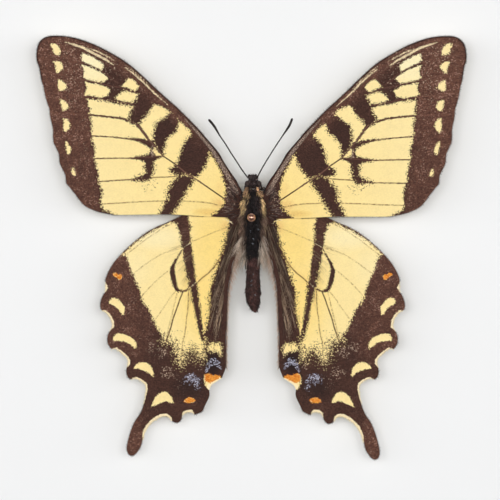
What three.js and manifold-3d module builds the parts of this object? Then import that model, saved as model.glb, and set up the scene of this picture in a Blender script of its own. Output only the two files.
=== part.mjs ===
// A pinned, spread swallowtail butterfly, in millimetres, +Z up and +Y towards the head.
// The origin is on the pin's axis, at the level where the pin enters its board.
import * as THREE from "three";
import { mergeVertices } from "three/addons/utils/BufferGeometryUtils.js";
import Module from "manifold-3d";

const wasm = await Module();
wasm.setup();

// Driving dimensions
const MIDLINE_X = 0.22; // the pin stands this far left of the body's midline
const WING_THICKNESS = 0.2;
const FOREWING_LEVEL = 6.7; // height of the forewing's middle surface at its root, over the board
const HINDWING_LEVEL = 6.05;
const WING_ROOT_X = 1.7; // inside the thorax, which is then cut out of the wing
const GRID_STEP = 3; // pitch of the facets on the wings
const PIN = { radius: 0.225, top: 17.7, point: -19.3, taper: 2, headRadius: 0.75 }; // 38 mm overall
const PIN_HOLE_RADIUS = 0.32;
const BODY_LEVEL = 6;
const BODY_HEIGHT_SHARE = 1.1; // the body's height over its width
const JOINT_GAP = 0.05; // clearance between small pieces that meet
const FOREWING_CAMBER = { length: 40, arch: 1.2, settle: 0.5 };
const HINDWING_CAMBER = { length: 45, width: 28, dip: 0.5, droop: 0.4 };

// How far the left wings stand from being mirrored right ones
const LEFT_LIFT = { rear: 0.42, front: 0.25, from: 5, over: 12, centre: 16, reach: 16 };
const LEFT_SPREAD = { from: 17, slope: 0.03 };
const LEFT_TAIL = { from: 36, over: 8.5, inward: 0.3, shorter: 0.7 };

// Facets and cutting tools
const ROD_SIDES = 6;
const BODY_SIDES = 20;
const PIN_SIDES = 12;
const HOLE_SIDES = 16;
const CURVE_TENSION = 0.35;
const MERGE_DISTANCE = 1e-4;
const CUTTER_LENGTH = 20; // longer than anything that it cuts through

// Outlines of the right wings, from the midline, as hand-chosen points
const FOREWING = [
  [WING_ROOT_X, 4.4], [2.4, 5.7], [3.1, 7], [4.1, 8.4], [6.3, 12], [7.8, 13.8], [10, 16.3], [14, 20.4],
  [18, 24.1], [22, 27.9], [24, 29.4], [27, 31.2], [30, 32.6], [33, 33.6], [36, 33.9], [38, 33.6],
  [39.3, 32.6], [39.8, 31], [39.8, 29], [39.2, 27], [38.7, 24.6], [38.3, 22.4], [37.7, 20.4],
  [37.4, 18], [37.1, 16], [36.9, 14], [36.1, 12], [35.8, 10.2], [34.9, 8.1], [34.6, 6.4],
  [33.5, 5], [32.2, 3.3], [31.2, 2.2], [29.5, 1.3], [27.8, 0.75], [25, 0.35], [20, 0.3],
  [14, 0.25], [8, 0.05], [4.6, 0], [WING_ROOT_X, 0],
];
const HINDWING = [
  [WING_ROOT_X, 2.6], [5, 3.4], [8, 3.2], [11, 1.9], [14, 0], [16.5, -1.1], [18.5, -2],
  [20.5, -3.2], [22.5, -4.8], [24.3, -6.6], [25.7, -8.1], [26.8, -9.8], [27.4, -11.6],
  [27.3, -13.4], [28, -14.8], [28.4, -16.2], [28, -17.2], [26.9, -18], [26.1, -19.4],
  [26.1, -20.4], [26.9, -21.8], [26.9, -23.3], [26.2, -24.3], [25.2, -24.4], [23.8, -25.6],
  [23.1, -26.9], [23.5, -28.5], [23.2, -29.7], [22.4, -29.9], [20.8, -30.2], [19.8, -31.4],
  [20, -33.5], [20.7, -35.9], [21.6, -37.4], [22.5, -39.1], [23.2, -41.2], [23.7, -43.4],
  [23.4, -44.7], [22.6, -44.95], [21.5, -43.8], [20.8, -42], [20.3, -40.3], [19.5, -38.9],
  [18.2, -37.6], [16.4, -36.8], [15.4, -37.3], [15, -38], [14.1, -38.3], [13.3, -37.6],
  [12.7, -36.3], [11.4, -36.1], [10.6, -36.6], [9.3, -35.8], [8.1, -33.4], [8, -31.8],
  [6.6, -30.4], [5.6, -29.6], [5, -27.8], [4.9, -25], [4.8, -20], [4.65, -15], [4, -10],
  [3.4, -7.5], [2.6, -5.5], [2.1, -3.8], [WING_ROOT_X, -2],
];

// Skins and shafts
const finish = (color, roughness, metalness = 0) =>
  new THREE.MeshStandardMaterial({ color, roughness, metalness });
const wingYellow = finish("#f8e0a0", 0.7);
const bodyBrown = finish("#3d2a24", 0.9);
const hornBlack = finish("#2a1d18", 0.5);
const eyeBlack = finish("#1c1512", 0.25);
const pinSteel = finish("#8d8a85", 0.25, 1);
const pinBrass = finish("#c08a4a", 0.25, 1);

// Solids for cutting: positions only, with shared vertices merged
function solid(geometry) {
  const bare = geometry.clone();
  bare.deleteAttribute("normal");
  bare.deleteAttribute("uv");
  const merged = mergeVertices(bare, MERGE_DISTANCE);
  return new wasm.Manifold(
    new wasm.Mesh({
      numProp: 3,
      vertProperties: new Float32Array(merged.attributes.position.array),
      triVerts: new Uint32Array(merged.index.array),
    }),
  );
}

function geometryOf(body) {
  const mesh = body.getMesh();
  const geometry = new THREE.BufferGeometry();
  geometry.setAttribute("position", new THREE.BufferAttribute(mesh.vertProperties, 3));
  geometry.setIndex(new THREE.BufferAttribute(mesh.triVerts, 1));
  geometry.computeVertexNormals();
  return geometry;
}

// Moves every vertex of a geometry by a function of its place
function reshape(geometry, move) {
  const position = geometry.attributes.position;
  const place = new THREE.Vector3();
  for (let i = 0; i < position.count; i++) {
    place.fromBufferAttribute(position, i);
    move(place);
    position.setXYZ(i, place.x, place.y, place.z);
  }
  return geometry;
}

// A thin cambered plate: a gridded slab that follows the wing's surface, cut by its outline
function wingPlate(outline, level) {
  const shape = new THREE.Shape(outline.map(([x, y]) => new THREE.Vector2(x, y)));
  const bounds = new THREE.Box2().setFromPoints(shape.getPoints());
  const size = bounds.getSize(new THREE.Vector2()).addScalar(GRID_STEP);
  const centre = bounds.getCenter(new THREE.Vector2());
  const slab = new THREE.BoxGeometry(
    size.x,
    size.y,
    WING_THICKNESS,
    Math.ceil(size.x / GRID_STEP),
    Math.ceil(size.y / GRID_STEP),
    1,
  );
  reshape(slab, (p) => {
    p.x += centre.x;
    p.y += centre.y;
    p.z += level(p.x, p.y);
  });
  const prism = new THREE.ExtrudeGeometry(shape, { depth: CUTTER_LENGTH, bevelEnabled: false });
  return geometryOf(solid(slab).intersect(solid(prism)));
}

// Heights of the wings' middle surfaces: the forewing arches along its length and its tip
// settles, and the hindwing dips slowly towards its tail
function forewingLevel(x) {
  const along = x / FOREWING_CAMBER.length;
  const arch = FOREWING_CAMBER.arch * along * (1 - along);
  return FOREWING_LEVEL + arch - FOREWING_CAMBER.settle * along * along;
}

function hindwingLevel(x, y) {
  const back = Math.max(0, -y) / HINDWING_CAMBER.length;
  const out = x / HINDWING_CAMBER.width;
  return HINDWING_LEVEL - HINDWING_CAMBER.dip * back * back - HINDWING_CAMBER.droop * out * out;
}

// A rod bent along a smooth curve, whose radius changes along it
function bentRod(points, radiusAt, steps, sides = ROD_SIDES) {
  const path = points.map((p) => new THREE.Vector3(...p));
  const curve = new THREE.CatmullRomCurve3(path, false, "catmullrom", CURVE_TENSION);
  const frames = curve.computeFrenetFrames(steps);
  const rod = new THREE.CylinderGeometry(1, 1, 1, sides, steps);
  return reshape(rod, (p) => {
    const along = 0.5 - p.y;
    const ring = Math.round(along * steps);
    const radius = radiusAt(along);
    const centre = curve.getPointAt(along);
    centre.addScaledVector(frames.normals[ring], p.x * radius);
    centre.addScaledVector(frames.binormals[ring], p.z * radius);
    p.copy(centre);
  });
}

// A spindle turned about Y from [y, half width] points, grown, made oval and bent sideways
function spindle(profile, grow, bend) {
  const wide = (halfWidth) => (halfWidth === 0 ? 0 : halfWidth + grow);
  const points = profile.map(([y, halfWidth]) => new THREE.Vector2(wide(halfWidth), y));
  return reshape(new THREE.LatheGeometry(points, BODY_SIDES), (p) => {
    p.x += bend(p.y);
    p.z = p.z * BODY_HEIGHT_SHARE + BODY_LEVEL;
  });
}

function ball(x, y, z, width, length, height) {
  const sphere = new THREE.SphereGeometry(1, 16, 12);
  return sphere.scale(width, length, height).translate(x, y, z);
}

const specimen = new THREE.Group();
const rightHalf = new THREE.Group();
const leftHalf = new THREE.Group();
const body = new THREE.Group();
rightHalf.position.x = MIDLINE_X;
leftHalf.position.x = MIDLINE_X;
leftHalf.scale.x = -1;
body.position.x = MIDLINE_X;
specimen.add(rightHalf, leftHalf, body);

function piece(parent, name, geometry, material) {
  const mesh = new THREE.Mesh(geometry, material);
  mesh.name = name;
  parent.add(mesh);
}

function bothSides(name, geometry, material) {
  piece(rightHalf, name + "_right", geometry, material);
  piece(leftHalf, name + "_left", geometry, material);
}

// Head, with a hollow for each eye
const HEAD = { x: 0.12, y: 6.5, z: 6.1, width: 1, length: 0.98, height: 1.05 };
const EYE = { reach: 1.02, y: 6.35, z: 6, width: 0.56, length: 0.68, height: 0.78 };
const eyeBall = (side, grow) => {
  const x = HEAD.x + side * EYE.reach;
  return ball(x, EYE.y, EYE.z, EYE.width + grow, EYE.length + grow, EYE.height + grow);
};
const headSolid = solid(ball(HEAD.x, HEAD.y, HEAD.z, HEAD.width, HEAD.length, HEAD.height));
const headWithHollows = headSolid
  .subtract(solid(eyeBall(1, JOINT_GAP)))
  .subtract(solid(eyeBall(-1, JOINT_GAP)));
piece(body, "head", geometryOf(headWithHollows), bodyBrown);
piece(body, "eye_right", eyeBall(1, 0), eyeBlack);
piece(body, "eye_left", eyeBall(-1, 0), eyeBlack);

// Antennae: a fine shaft that thickens into a long club. The left one is spread further.
const ANTENNAE = {
  right: [[0.62, 7.2, 6.85], [0.98, 7.8, 7.2], [1.7, 9.15, 7.5], [2.5, 10.5, 7.7],
    [3.4, 11.95, 7.8], [4.35, 13.45, 7.8], [5.65, 15.4, 7.8], [6.6, 16.8, 7.6],
    [7.03, 17.6, 7.5], [7.4, 18.6, 7.4]],
  left: [[-0.45, 7.2, 6.85], [-0.95, 7.65, 7.2], [-2, 9.05, 7.5], [-3, 10.6, 7.7],
    [-4, 12.1, 7.8], [-5, 13.75, 7.8], [-6, 15.2, 7.8], [-7, 16.9, 7.7], [-7.6, 17.7, 7.6],
    [-8.2, 18.4, 7.5]],
};
const ANTENNA = { shaft: 0.125, club: 0.21, tip: 0.11, clubFrom: 0.68, clubTo: 0.88, steps: 32 };
const antennaRadius = (along) => {
  const share = THREE.MathUtils.smoothstep(along, ANTENNA.clubFrom, ANTENNA.clubTo);
  return along === 1 ? ANTENNA.tip : THREE.MathUtils.lerp(ANTENNA.shaft, ANTENNA.club, share);
};
for (const [side, points] of Object.entries(ANTENNAE))
  piece(body, "antenna_" + side, bentRod(points, antennaRadius, ANTENNA.steps), hornBlack);

// Palps and the coiled tongue
const PALP = [[0.55, 7.65, 5.2], [0.6, 7.95, 5.6], [0.6, 8.1, 6.1], [0.5, 8.1, 6.6]];
const PALP_ROD = { root: 0.3, tip: 0.1, steps: 8, sides: 8 };
const palpRadius = (along) => THREE.MathUtils.lerp(PALP_ROD.root, PALP_ROD.tip, along ** 3);
bothSides("palp", bentRod(PALP, palpRadius, PALP_ROD.steps, PALP_ROD.sides), bodyBrown);
const COIL = { y: 7.1, z: 4.25, turns: 2.2, inner: 0.12, outer: 0.68, radius: 0.1, points: 30, steps: 44 };
const coilPoints = [];
for (let i = 0; i <= COIL.points; i++) {
  const share = i / COIL.points;
  const angle = Math.PI / 2 - share * COIL.turns * 2 * Math.PI;
  const reach = COIL.outer + (COIL.inner - COIL.outer) * share;
  coilPoints.push([0, COIL.y + reach * Math.cos(angle), COIL.z + reach * Math.sin(angle)]);
}
piece(body, "proboscis", bentRod(coilPoints, () => COIL.radius, COIL.steps), hornBlack);

// Thorax, with the pin's hole, and abdomen
const THORAX = [[-6.8, 0], [-6.75, 0.95], [-6.4, 1.28], [-5, 1.6], [-3.6, 1.9], [-2, 2.2],
  [0, 2.4], [2, 2.35], [3.8, 2], [4.8, 1.5], [5.25, 0.95], [5.42, 0]];
const straight = () => 0;
const thoraxBlank = solid(spindle(THORAX, 0, straight));
const roomForThorax = solid(spindle(THORAX, JOINT_GAP, straight));
const holeSize = [PIN_HOLE_RADIUS, PIN_HOLE_RADIUS, CUTTER_LENGTH, HOLE_SIDES];
const hole = new THREE.CylinderGeometry(...holeSize);
hole.rotateX(Math.PI / 2).translate(-MIDLINE_X, 0, BODY_LEVEL);
piece(body, "thorax", geometryOf(thoraxBlank.subtract(solid(hole))), bodyBrown);
const ABDOMEN = [[-17.65, 0], [-17.4, 0.3], [-16.8, 0.62], [-16, 0.96], [-15, 1.24], [-13.5, 1.38],
  [-12, 1.3], [-10.5, 1.16], [-8.5, 1.15], [-7.2, 1.24], [-6.95, 0.95], [-6.85, 0]];
const BEND = { offset: 0.1, sideways: 0.55, from: 14, to: 18 };
const abdomenBend = (y) =>
  BEND.offset + BEND.sideways * THREE.MathUtils.smoothstep(-y, BEND.from, BEND.to);
piece(body, "abdomen", geometryOf(solid(spindle(ABDOMEN, 0, abdomenBend))), bodyBrown);

// Wings: the left forewing is set a little further out and forward than the right one, and the
// left hindwing's tail is a little shorter
const spreadLeft = ([x, y]) => {
  const near = Math.exp(-(((x - LEFT_LIFT.centre) / LEFT_LIFT.reach) ** 2));
  const forward = THREE.MathUtils.clamp((y - LEFT_LIFT.from) / LEFT_LIFT.over, 0, 1);
  const lift = THREE.MathUtils.lerp(LEFT_LIFT.rear, LEFT_LIFT.front, forward) * near;
  return [x + LEFT_SPREAD.slope * Math.max(0, y - LEFT_SPREAD.from), y + lift];
};
const bendLeft = ([x, y]) => {
  const share = THREE.MathUtils.clamp((-y - LEFT_TAIL.from) / LEFT_TAIL.over, 0, 1);
  return [x - LEFT_TAIL.inward * share, y + LEFT_TAIL.shorter * share];
};
const forewingLeft = FOREWING.map(spreadLeft);
const hindwingLeft = HINDWING.map(bendLeft);
const clearOfThorax = (outline, level) =>
  geometryOf(solid(wingPlate(outline, level)).subtract(roomForThorax));
piece(rightHalf, "forewing_right", clearOfThorax(FOREWING, forewingLevel), wingYellow);
piece(leftHalf, "forewing_left", clearOfThorax(forewingLeft, forewingLevel), wingYellow);
piece(rightHalf, "hindwing_right", clearOfThorax(HINDWING, hindwingLevel), wingYellow);
piece(leftHalf, "hindwing_left", clearOfThorax(hindwingLeft, hindwingLevel), wingYellow);

// Legs, folded back under the thorax
const LEGS = {
  front: [[0.8, 3.2, 2.75], [1.9, 4.2, 2.3], [2.7, 4.3, 2.1], [2.4, 2.6, 1.6], [1.5, -0.6, 0.6]],
  middle: [[0.9, 0.6, 2.7], [2.4, 1.2, 2.3], [3.6, 1, 2.1], [3.3, -1.2, 1.6], [2.5, -4.4, 0.8]],
  hind: [[0.85, -2.2, 2.9], [1.9, -2.8, 2.4], [2.3, -3.9, 2.1], [1.6, -6.2, 1.9], [1.25, -9.6, 1.9]],
};
const LEG = { root: 0.3, tip: 0.1, steps: 16 };
const legRadius = (along) => THREE.MathUtils.lerp(LEG.root, LEG.tip, Math.sqrt(along));
for (const [name, points] of Object.entries(LEGS))
  bothSides("leg_" + name, bentRod(points, legRadius, LEG.steps), hornBlack);

// Insect pin: a straight shaft with a ground point, and a round head with a socket for it
const shaftTop = PIN.top - JOINT_GAP;
const pinProfile = [
  [0, PIN.point],
  [PIN.radius, PIN.point + PIN.taper],
  [PIN.radius, shaftTop],
  [0, shaftTop],
];
const shaft = new THREE.LatheGeometry(
  pinProfile.map(([r, z]) => new THREE.Vector2(r, z)),
  PIN_SIDES,
);
piece(specimen, "pin_shaft", shaft.rotateX(Math.PI / 2), pinSteel);
const r = PIN.headRadius;
const socketDepth = 0.5;
const headCentre = PIN.top - socketDepth + r;
const socketLength = 2;
const socket = new THREE.CylinderGeometry(PIN_HOLE_RADIUS, PIN_HOLE_RADIUS, socketLength, PIN_SIDES);
socket.rotateX(Math.PI / 2).translate(0, 0, PIN.top - socketLength / 2);
const pinHead = solid(ball(0, 0, headCentre, r, r, r)).subtract(solid(socket));
piece(specimen, "pin_head", geometryOf(pinHead), pinBrass);

export default specimen;
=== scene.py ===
# The looks of a pinned, spread swallowtail butterfly, built around its CAD frame.
# Lengths are millimetres from the body's midline and the pin, and become metres in the meshes.
import math

import bpy
import numpy as np
from mathutils.geometry import delaunay_2d_cdt
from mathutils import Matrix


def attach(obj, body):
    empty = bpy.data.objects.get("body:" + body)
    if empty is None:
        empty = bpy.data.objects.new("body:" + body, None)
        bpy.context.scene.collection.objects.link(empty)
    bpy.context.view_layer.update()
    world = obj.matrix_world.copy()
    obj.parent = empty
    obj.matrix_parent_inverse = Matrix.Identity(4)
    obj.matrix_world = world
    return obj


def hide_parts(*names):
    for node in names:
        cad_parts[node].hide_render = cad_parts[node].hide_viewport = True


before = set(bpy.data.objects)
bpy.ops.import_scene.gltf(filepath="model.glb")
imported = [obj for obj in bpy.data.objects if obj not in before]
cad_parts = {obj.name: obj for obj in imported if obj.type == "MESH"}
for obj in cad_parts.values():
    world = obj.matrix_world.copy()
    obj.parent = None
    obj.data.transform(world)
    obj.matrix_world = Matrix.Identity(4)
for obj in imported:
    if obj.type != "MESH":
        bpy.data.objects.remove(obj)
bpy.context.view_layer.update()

MM = 0.001
MIDLINE_X = 0.22  # the pin stands this far left of the body's midline
FOREWING_LEVEL = 6.7
HINDWING_LEVEL = 6.05
BODY_LEVEL = 6.0
SKIN = 0.07  # a wing's thickness with its scales
WING_GRID = 0.24
RIM_STEP = 0.2
STRAND_GAP = 0.13  # from a vein to the row of points on each side of it
VEIN_CLEARANCE = 0.7  # of the grid's spacing, between the grid and a vein
RIM_CLEARANCE = 0.1
MERGE_DISTANCE = 0.02
RIDGE = {"height": 0.05, "width": 0.16}  # a vein's rise on both faces of its wing
SAG = {"depth": 0.1, "reach": 1.1}  # how a wing dips between its veins
SHARP_DEGREES = 50
LEFT_PATTERN = 60  # moves the pattern of scales, so that the left wings have their own
UNDER_PATTERN = 5  # the same for the undersides
DEEP = 9.0  # deeper than any mark
PLAIN_FRAY = 0.1
SIDES = {"right": 1, "left": -1}


# Colours, from the eye's 0 to 255 scale to the renderer's linear one
def paint(red, green, blue):
    def linear(level):
        share = level / 255
        return share / 12.92 if share <= 0.04045 else ((share + 0.055) / 1.055) ** 2.4

    return (linear(red), linear(green), linear(blue), 1.0)


# Shader maths
class Value:
    """A socket that varies over a surface. Its operators add Math nodes."""

    def __init__(self, shader, socket):
        self.shader = shader
        self.socket = socket

    def math(self, operation, *numbers):
        return self.shader.node(
            "ShaderNodeMath", {"operation": operation}, dict(enumerate(numbers))
        )

    def __add__(self, other):
        return self.math("ADD", self, other)

    def __sub__(self, other):
        return self.math("SUBTRACT", self, other)

    def __rsub__(self, other):
        return self.math("SUBTRACT", other, self)

    def __mul__(self, other):
        return self.math("MULTIPLY", self, other)

    def __truediv__(self, other):
        return self.math("DIVIDE", self, other)

    __radd__ = __add__
    __rmul__ = __mul__

    def clamped(self):
        return self.shader.node(
            "ShaderNodeClamp", {}, {"Value": self, "Min": 0.0, "Max": 1.0}
        )

    def above(self, edge, soft):
        """0 below the edge and 1 above it, over a ramp as wide as soft."""
        return ((self - edge) / soft + 0.5).clamped()


class Shader:
    """One material, with a method for each kind of node that it is built from."""

    def __init__(self, name, **constants):
        self.material = bpy.data.materials.new(name)
        self.material.use_nodes = True
        self.tree = self.material.node_tree
        self.surface = self.tree.nodes["Principled BSDF"]
        for socket, number in constants.items():
            self.surface.inputs[socket.replace("_", " ")].default_value = number

    def node(self, kind, settings, inputs, output=0):
        made = self.tree.nodes.new(kind)
        for name, setting in settings.items():
            setattr(made, name, setting)
        for key, given in inputs.items():
            if isinstance(given, Value):
                self.tree.links.new(given.socket, made.inputs[key])
            else:
                made.inputs[key].default_value = given
        return Value(self, made.outputs[output])

    def attribute(self, name, output="Fac"):
        return self.node("ShaderNodeAttribute", {"attribute_name": name}, {}, output)

    def mix(self, factor, first, second):
        return self.node(
            "ShaderNodeMix", {"data_type": "RGBA"}, {0: factor, 6: first, 7: second}, 2
        )

    def multiply(self, colour, grey):
        return self.node(
            "ShaderNodeVectorMath", {"operation": "SCALE"}, {0: colour, "Scale": grey}
        )

    def noise(self, vector, scale, detail):
        inputs = {"Vector": vector, "Scale": scale, "Detail": detail}
        return self.node("ShaderNodeTexNoise", {}, inputs, "Fac")

    def place(self):
        return self.node("ShaderNodeTexCoord", {}, {}, "Object")

    def stretched(self, vector, scale, turn=(0.0, 0.0, 0.0)):
        inputs = {"Vector": vector, "Rotation": turn, "Scale": scale}
        return self.node("ShaderNodeMapping", {}, inputs, "Vector")

    def parts(self, colour):
        made = self.node("ShaderNodeSeparateXYZ", {}, {0: colour})
        return [Value(self, out) for out in made.socket.node.outputs]

    def bump(self, height, distance, strength):
        inputs = {"Height": height, "Distance": distance, "Strength": strength}
        return self.node("ShaderNodeBump", {}, inputs, "Normal")

    def feed(self, **values):
        for name, value in values.items():
            socket = self.surface.inputs[name.replace("_", " ")]
            self.tree.links.new(value.socket, socket)
        return self.material


# Numbers that vary from place to place
def ramp(numbers, start, width):
    """0 up to the start, rising evenly to 1 over the width."""
    return np.clip((numbers - start) / width, 0, 1)


def hump(numbers, centre, width):
    """1 at the centre, falling off smoothly on both sides of it."""
    return np.exp(-(((numbers - centre) / width) ** 2))


def around(sides):
    """The angles of a ring's points."""
    return np.linspace(0, 2 * np.pi, sides, endpoint=False)


# Lines and outlines in the wings' plane
def smooth_curve(points, step, closed=False):
    """A curve through the points, in any number of dimensions, sampled about every step."""
    p = np.array(points, float)
    if closed:
        p = np.vstack([p[-1:], p, p[:2]])
    else:
        p = np.vstack([2 * p[:1] - p[1:2], p, 2 * p[-1:] - p[-2:-1]])
    curve = []
    for a, b, c, d in zip(p, p[1:], p[2:], p[3:]):
        count = max(1, round(float(np.linalg.norm(c - b)) / step))
        bend = 2 * a - 5 * b + 4 * c - d
        twist = 3 * b - a - 3 * c + d
        for t in np.arange(count) / count:
            curve.append(b + ((c - a) * t + bend * t**2 + twist * t**3) / 2)
    if not closed:
        curve.append(p[-2])
    return np.array(curve)


def line_distance(places, line):
    """How far each place is from a line of points, and how far along it the nearest point is."""
    line = np.array(line, float)[:, :2]
    nearest = np.full(len(places), np.inf)
    along = np.zeros(len(places))
    for i, (a, b) in enumerate(zip(line[:-1], line[1:])):
        ab = b - a
        t = np.clip((places - a) @ ab / max(ab @ ab, 1e-12), 0, 1)
        gap = np.hypot(*(places - a - t[:, None] * ab).T)
        closer = gap < nearest
        nearest = np.where(closer, gap, nearest)
        along = np.where(closer, i + t, along)
    return nearest, along


def depth_inside(places, outline):
    """The distance of each place from a closed outline: positive inside, negative outside."""
    loop = np.vstack([outline, outline[:1]])
    gap, _ = line_distance(places, loop)
    x, y = places.T
    odd = np.zeros(len(places), bool)
    for (ax, ay), (bx, by) in zip(loop[:-1], loop[1:]):
        if ay != by:
            crosses = (ay > y) != (by > y)
            odd ^= crosses & (x < ax + (y - ay) * (bx - ax) / (by - ay))
    return np.where(odd, gap, -gap)


def stroke_depth(places, stroke):
    """The depth inside a stroke of (x, y, half width) points."""
    gap, along = line_distance(places, stroke)
    widths = [w for _, _, w in stroke]
    return np.interp(along, range(len(stroke)), widths) - gap


def deepest(places, strokes):
    """The depth inside the stroke that each place lies deepest in."""
    return np.max([stroke_depth(places, stroke) for stroke in strokes], axis=0)


def blobs(places, spots):
    """Soft patches: (x, y, x radius, y radius, strength), the strongest at each place."""
    total = np.zeros(len(places))
    for x, y, rx, ry, strength in spots:
        reach = ((places[:, 0] - x) / rx) ** 2 + ((places[:, 1] - y) / ry) ** 2
        total = np.maximum(total, strength * np.exp(-(reach**1.5)))
    return total


def painted(places, marks):
    """Lays marks over each other. Gives the depth inside dark scales, and the fray of the edge.

    A mark is its kind, its fray, and an outline of (x, y) or a stroke of (x, y, half width).
    """
    depth = np.full(len(places), DEEP)
    fray = np.full(len(places), PLAIN_FRAY)
    for kind, edge_fray, points in marks:
        is_stroke = len(points[0]) == 3
        inside = stroke_depth(places, points) if is_stroke else depth_inside(places, points)
        if kind == "dark":
            over = inside > depth
            depth = np.where(over, inside, depth)
        else:
            over = -inside < depth
            depth = np.where(over, -inside, depth)
        fray = np.where(over, edge_fray, fray)
    return depth, fray


# The forewing's outline, marks, veins and gilt edge
FOREWING_OUTLINE = [
    (2.0, 4.9), (2.4, 5.7), (3.1, 7.0), (4.1, 8.4), (5.2, 10.1), (6.3, 12.0), (7.8, 13.8),
    (10, 16.3), (12, 18.4), (14, 20.4), (16, 22.2), (18, 24.1), (20, 26.05), (22, 27.9),
    (24, 29.4), (26, 30.6), (28, 31.7), (30, 32.6), (32, 33.3), (34, 33.75), (36, 33.9),
    (37.5, 33.8), (38.5, 33.4), (39.2, 32.7), (39.6, 31.8), (39.8, 30.4), (39.75, 29.2),
    (39.4, 28.2), (39.2, 27), (39.05, 25.8), (38.7, 24.6), (38.5, 23.5), (38.3, 22.4),
    (38, 21.3), (37.7, 20.4), (37.6, 19.2), (37.4, 18), (37.15, 16.8), (37.1, 15.8),
    (37.1, 15), (37, 14.1), (36.7, 13.4), (36.3, 12.6), (36, 11.8), (35.9, 10.5), (35.6, 9.6),
    (35.1, 8.6), (34.8, 7.9), (34.7, 7), (34.6, 6.4), (34.1, 5.8), (33.5, 5), (33, 4.4),
    (32.5, 3.7), (31.9, 2.9), (31.2, 2.2), (30.2, 1.6), (29, 1.1), (27.8, 0.75), (26, 0.4),
    (24, 0.3), (20, 0.3), (17, 0.3), (14, 0.25), (11, 0.1), (8, 0.0), (5, -0.1), (2.6, -0.1),
    (1.9, 0.6), (1.8, 2.6),
]
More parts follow.
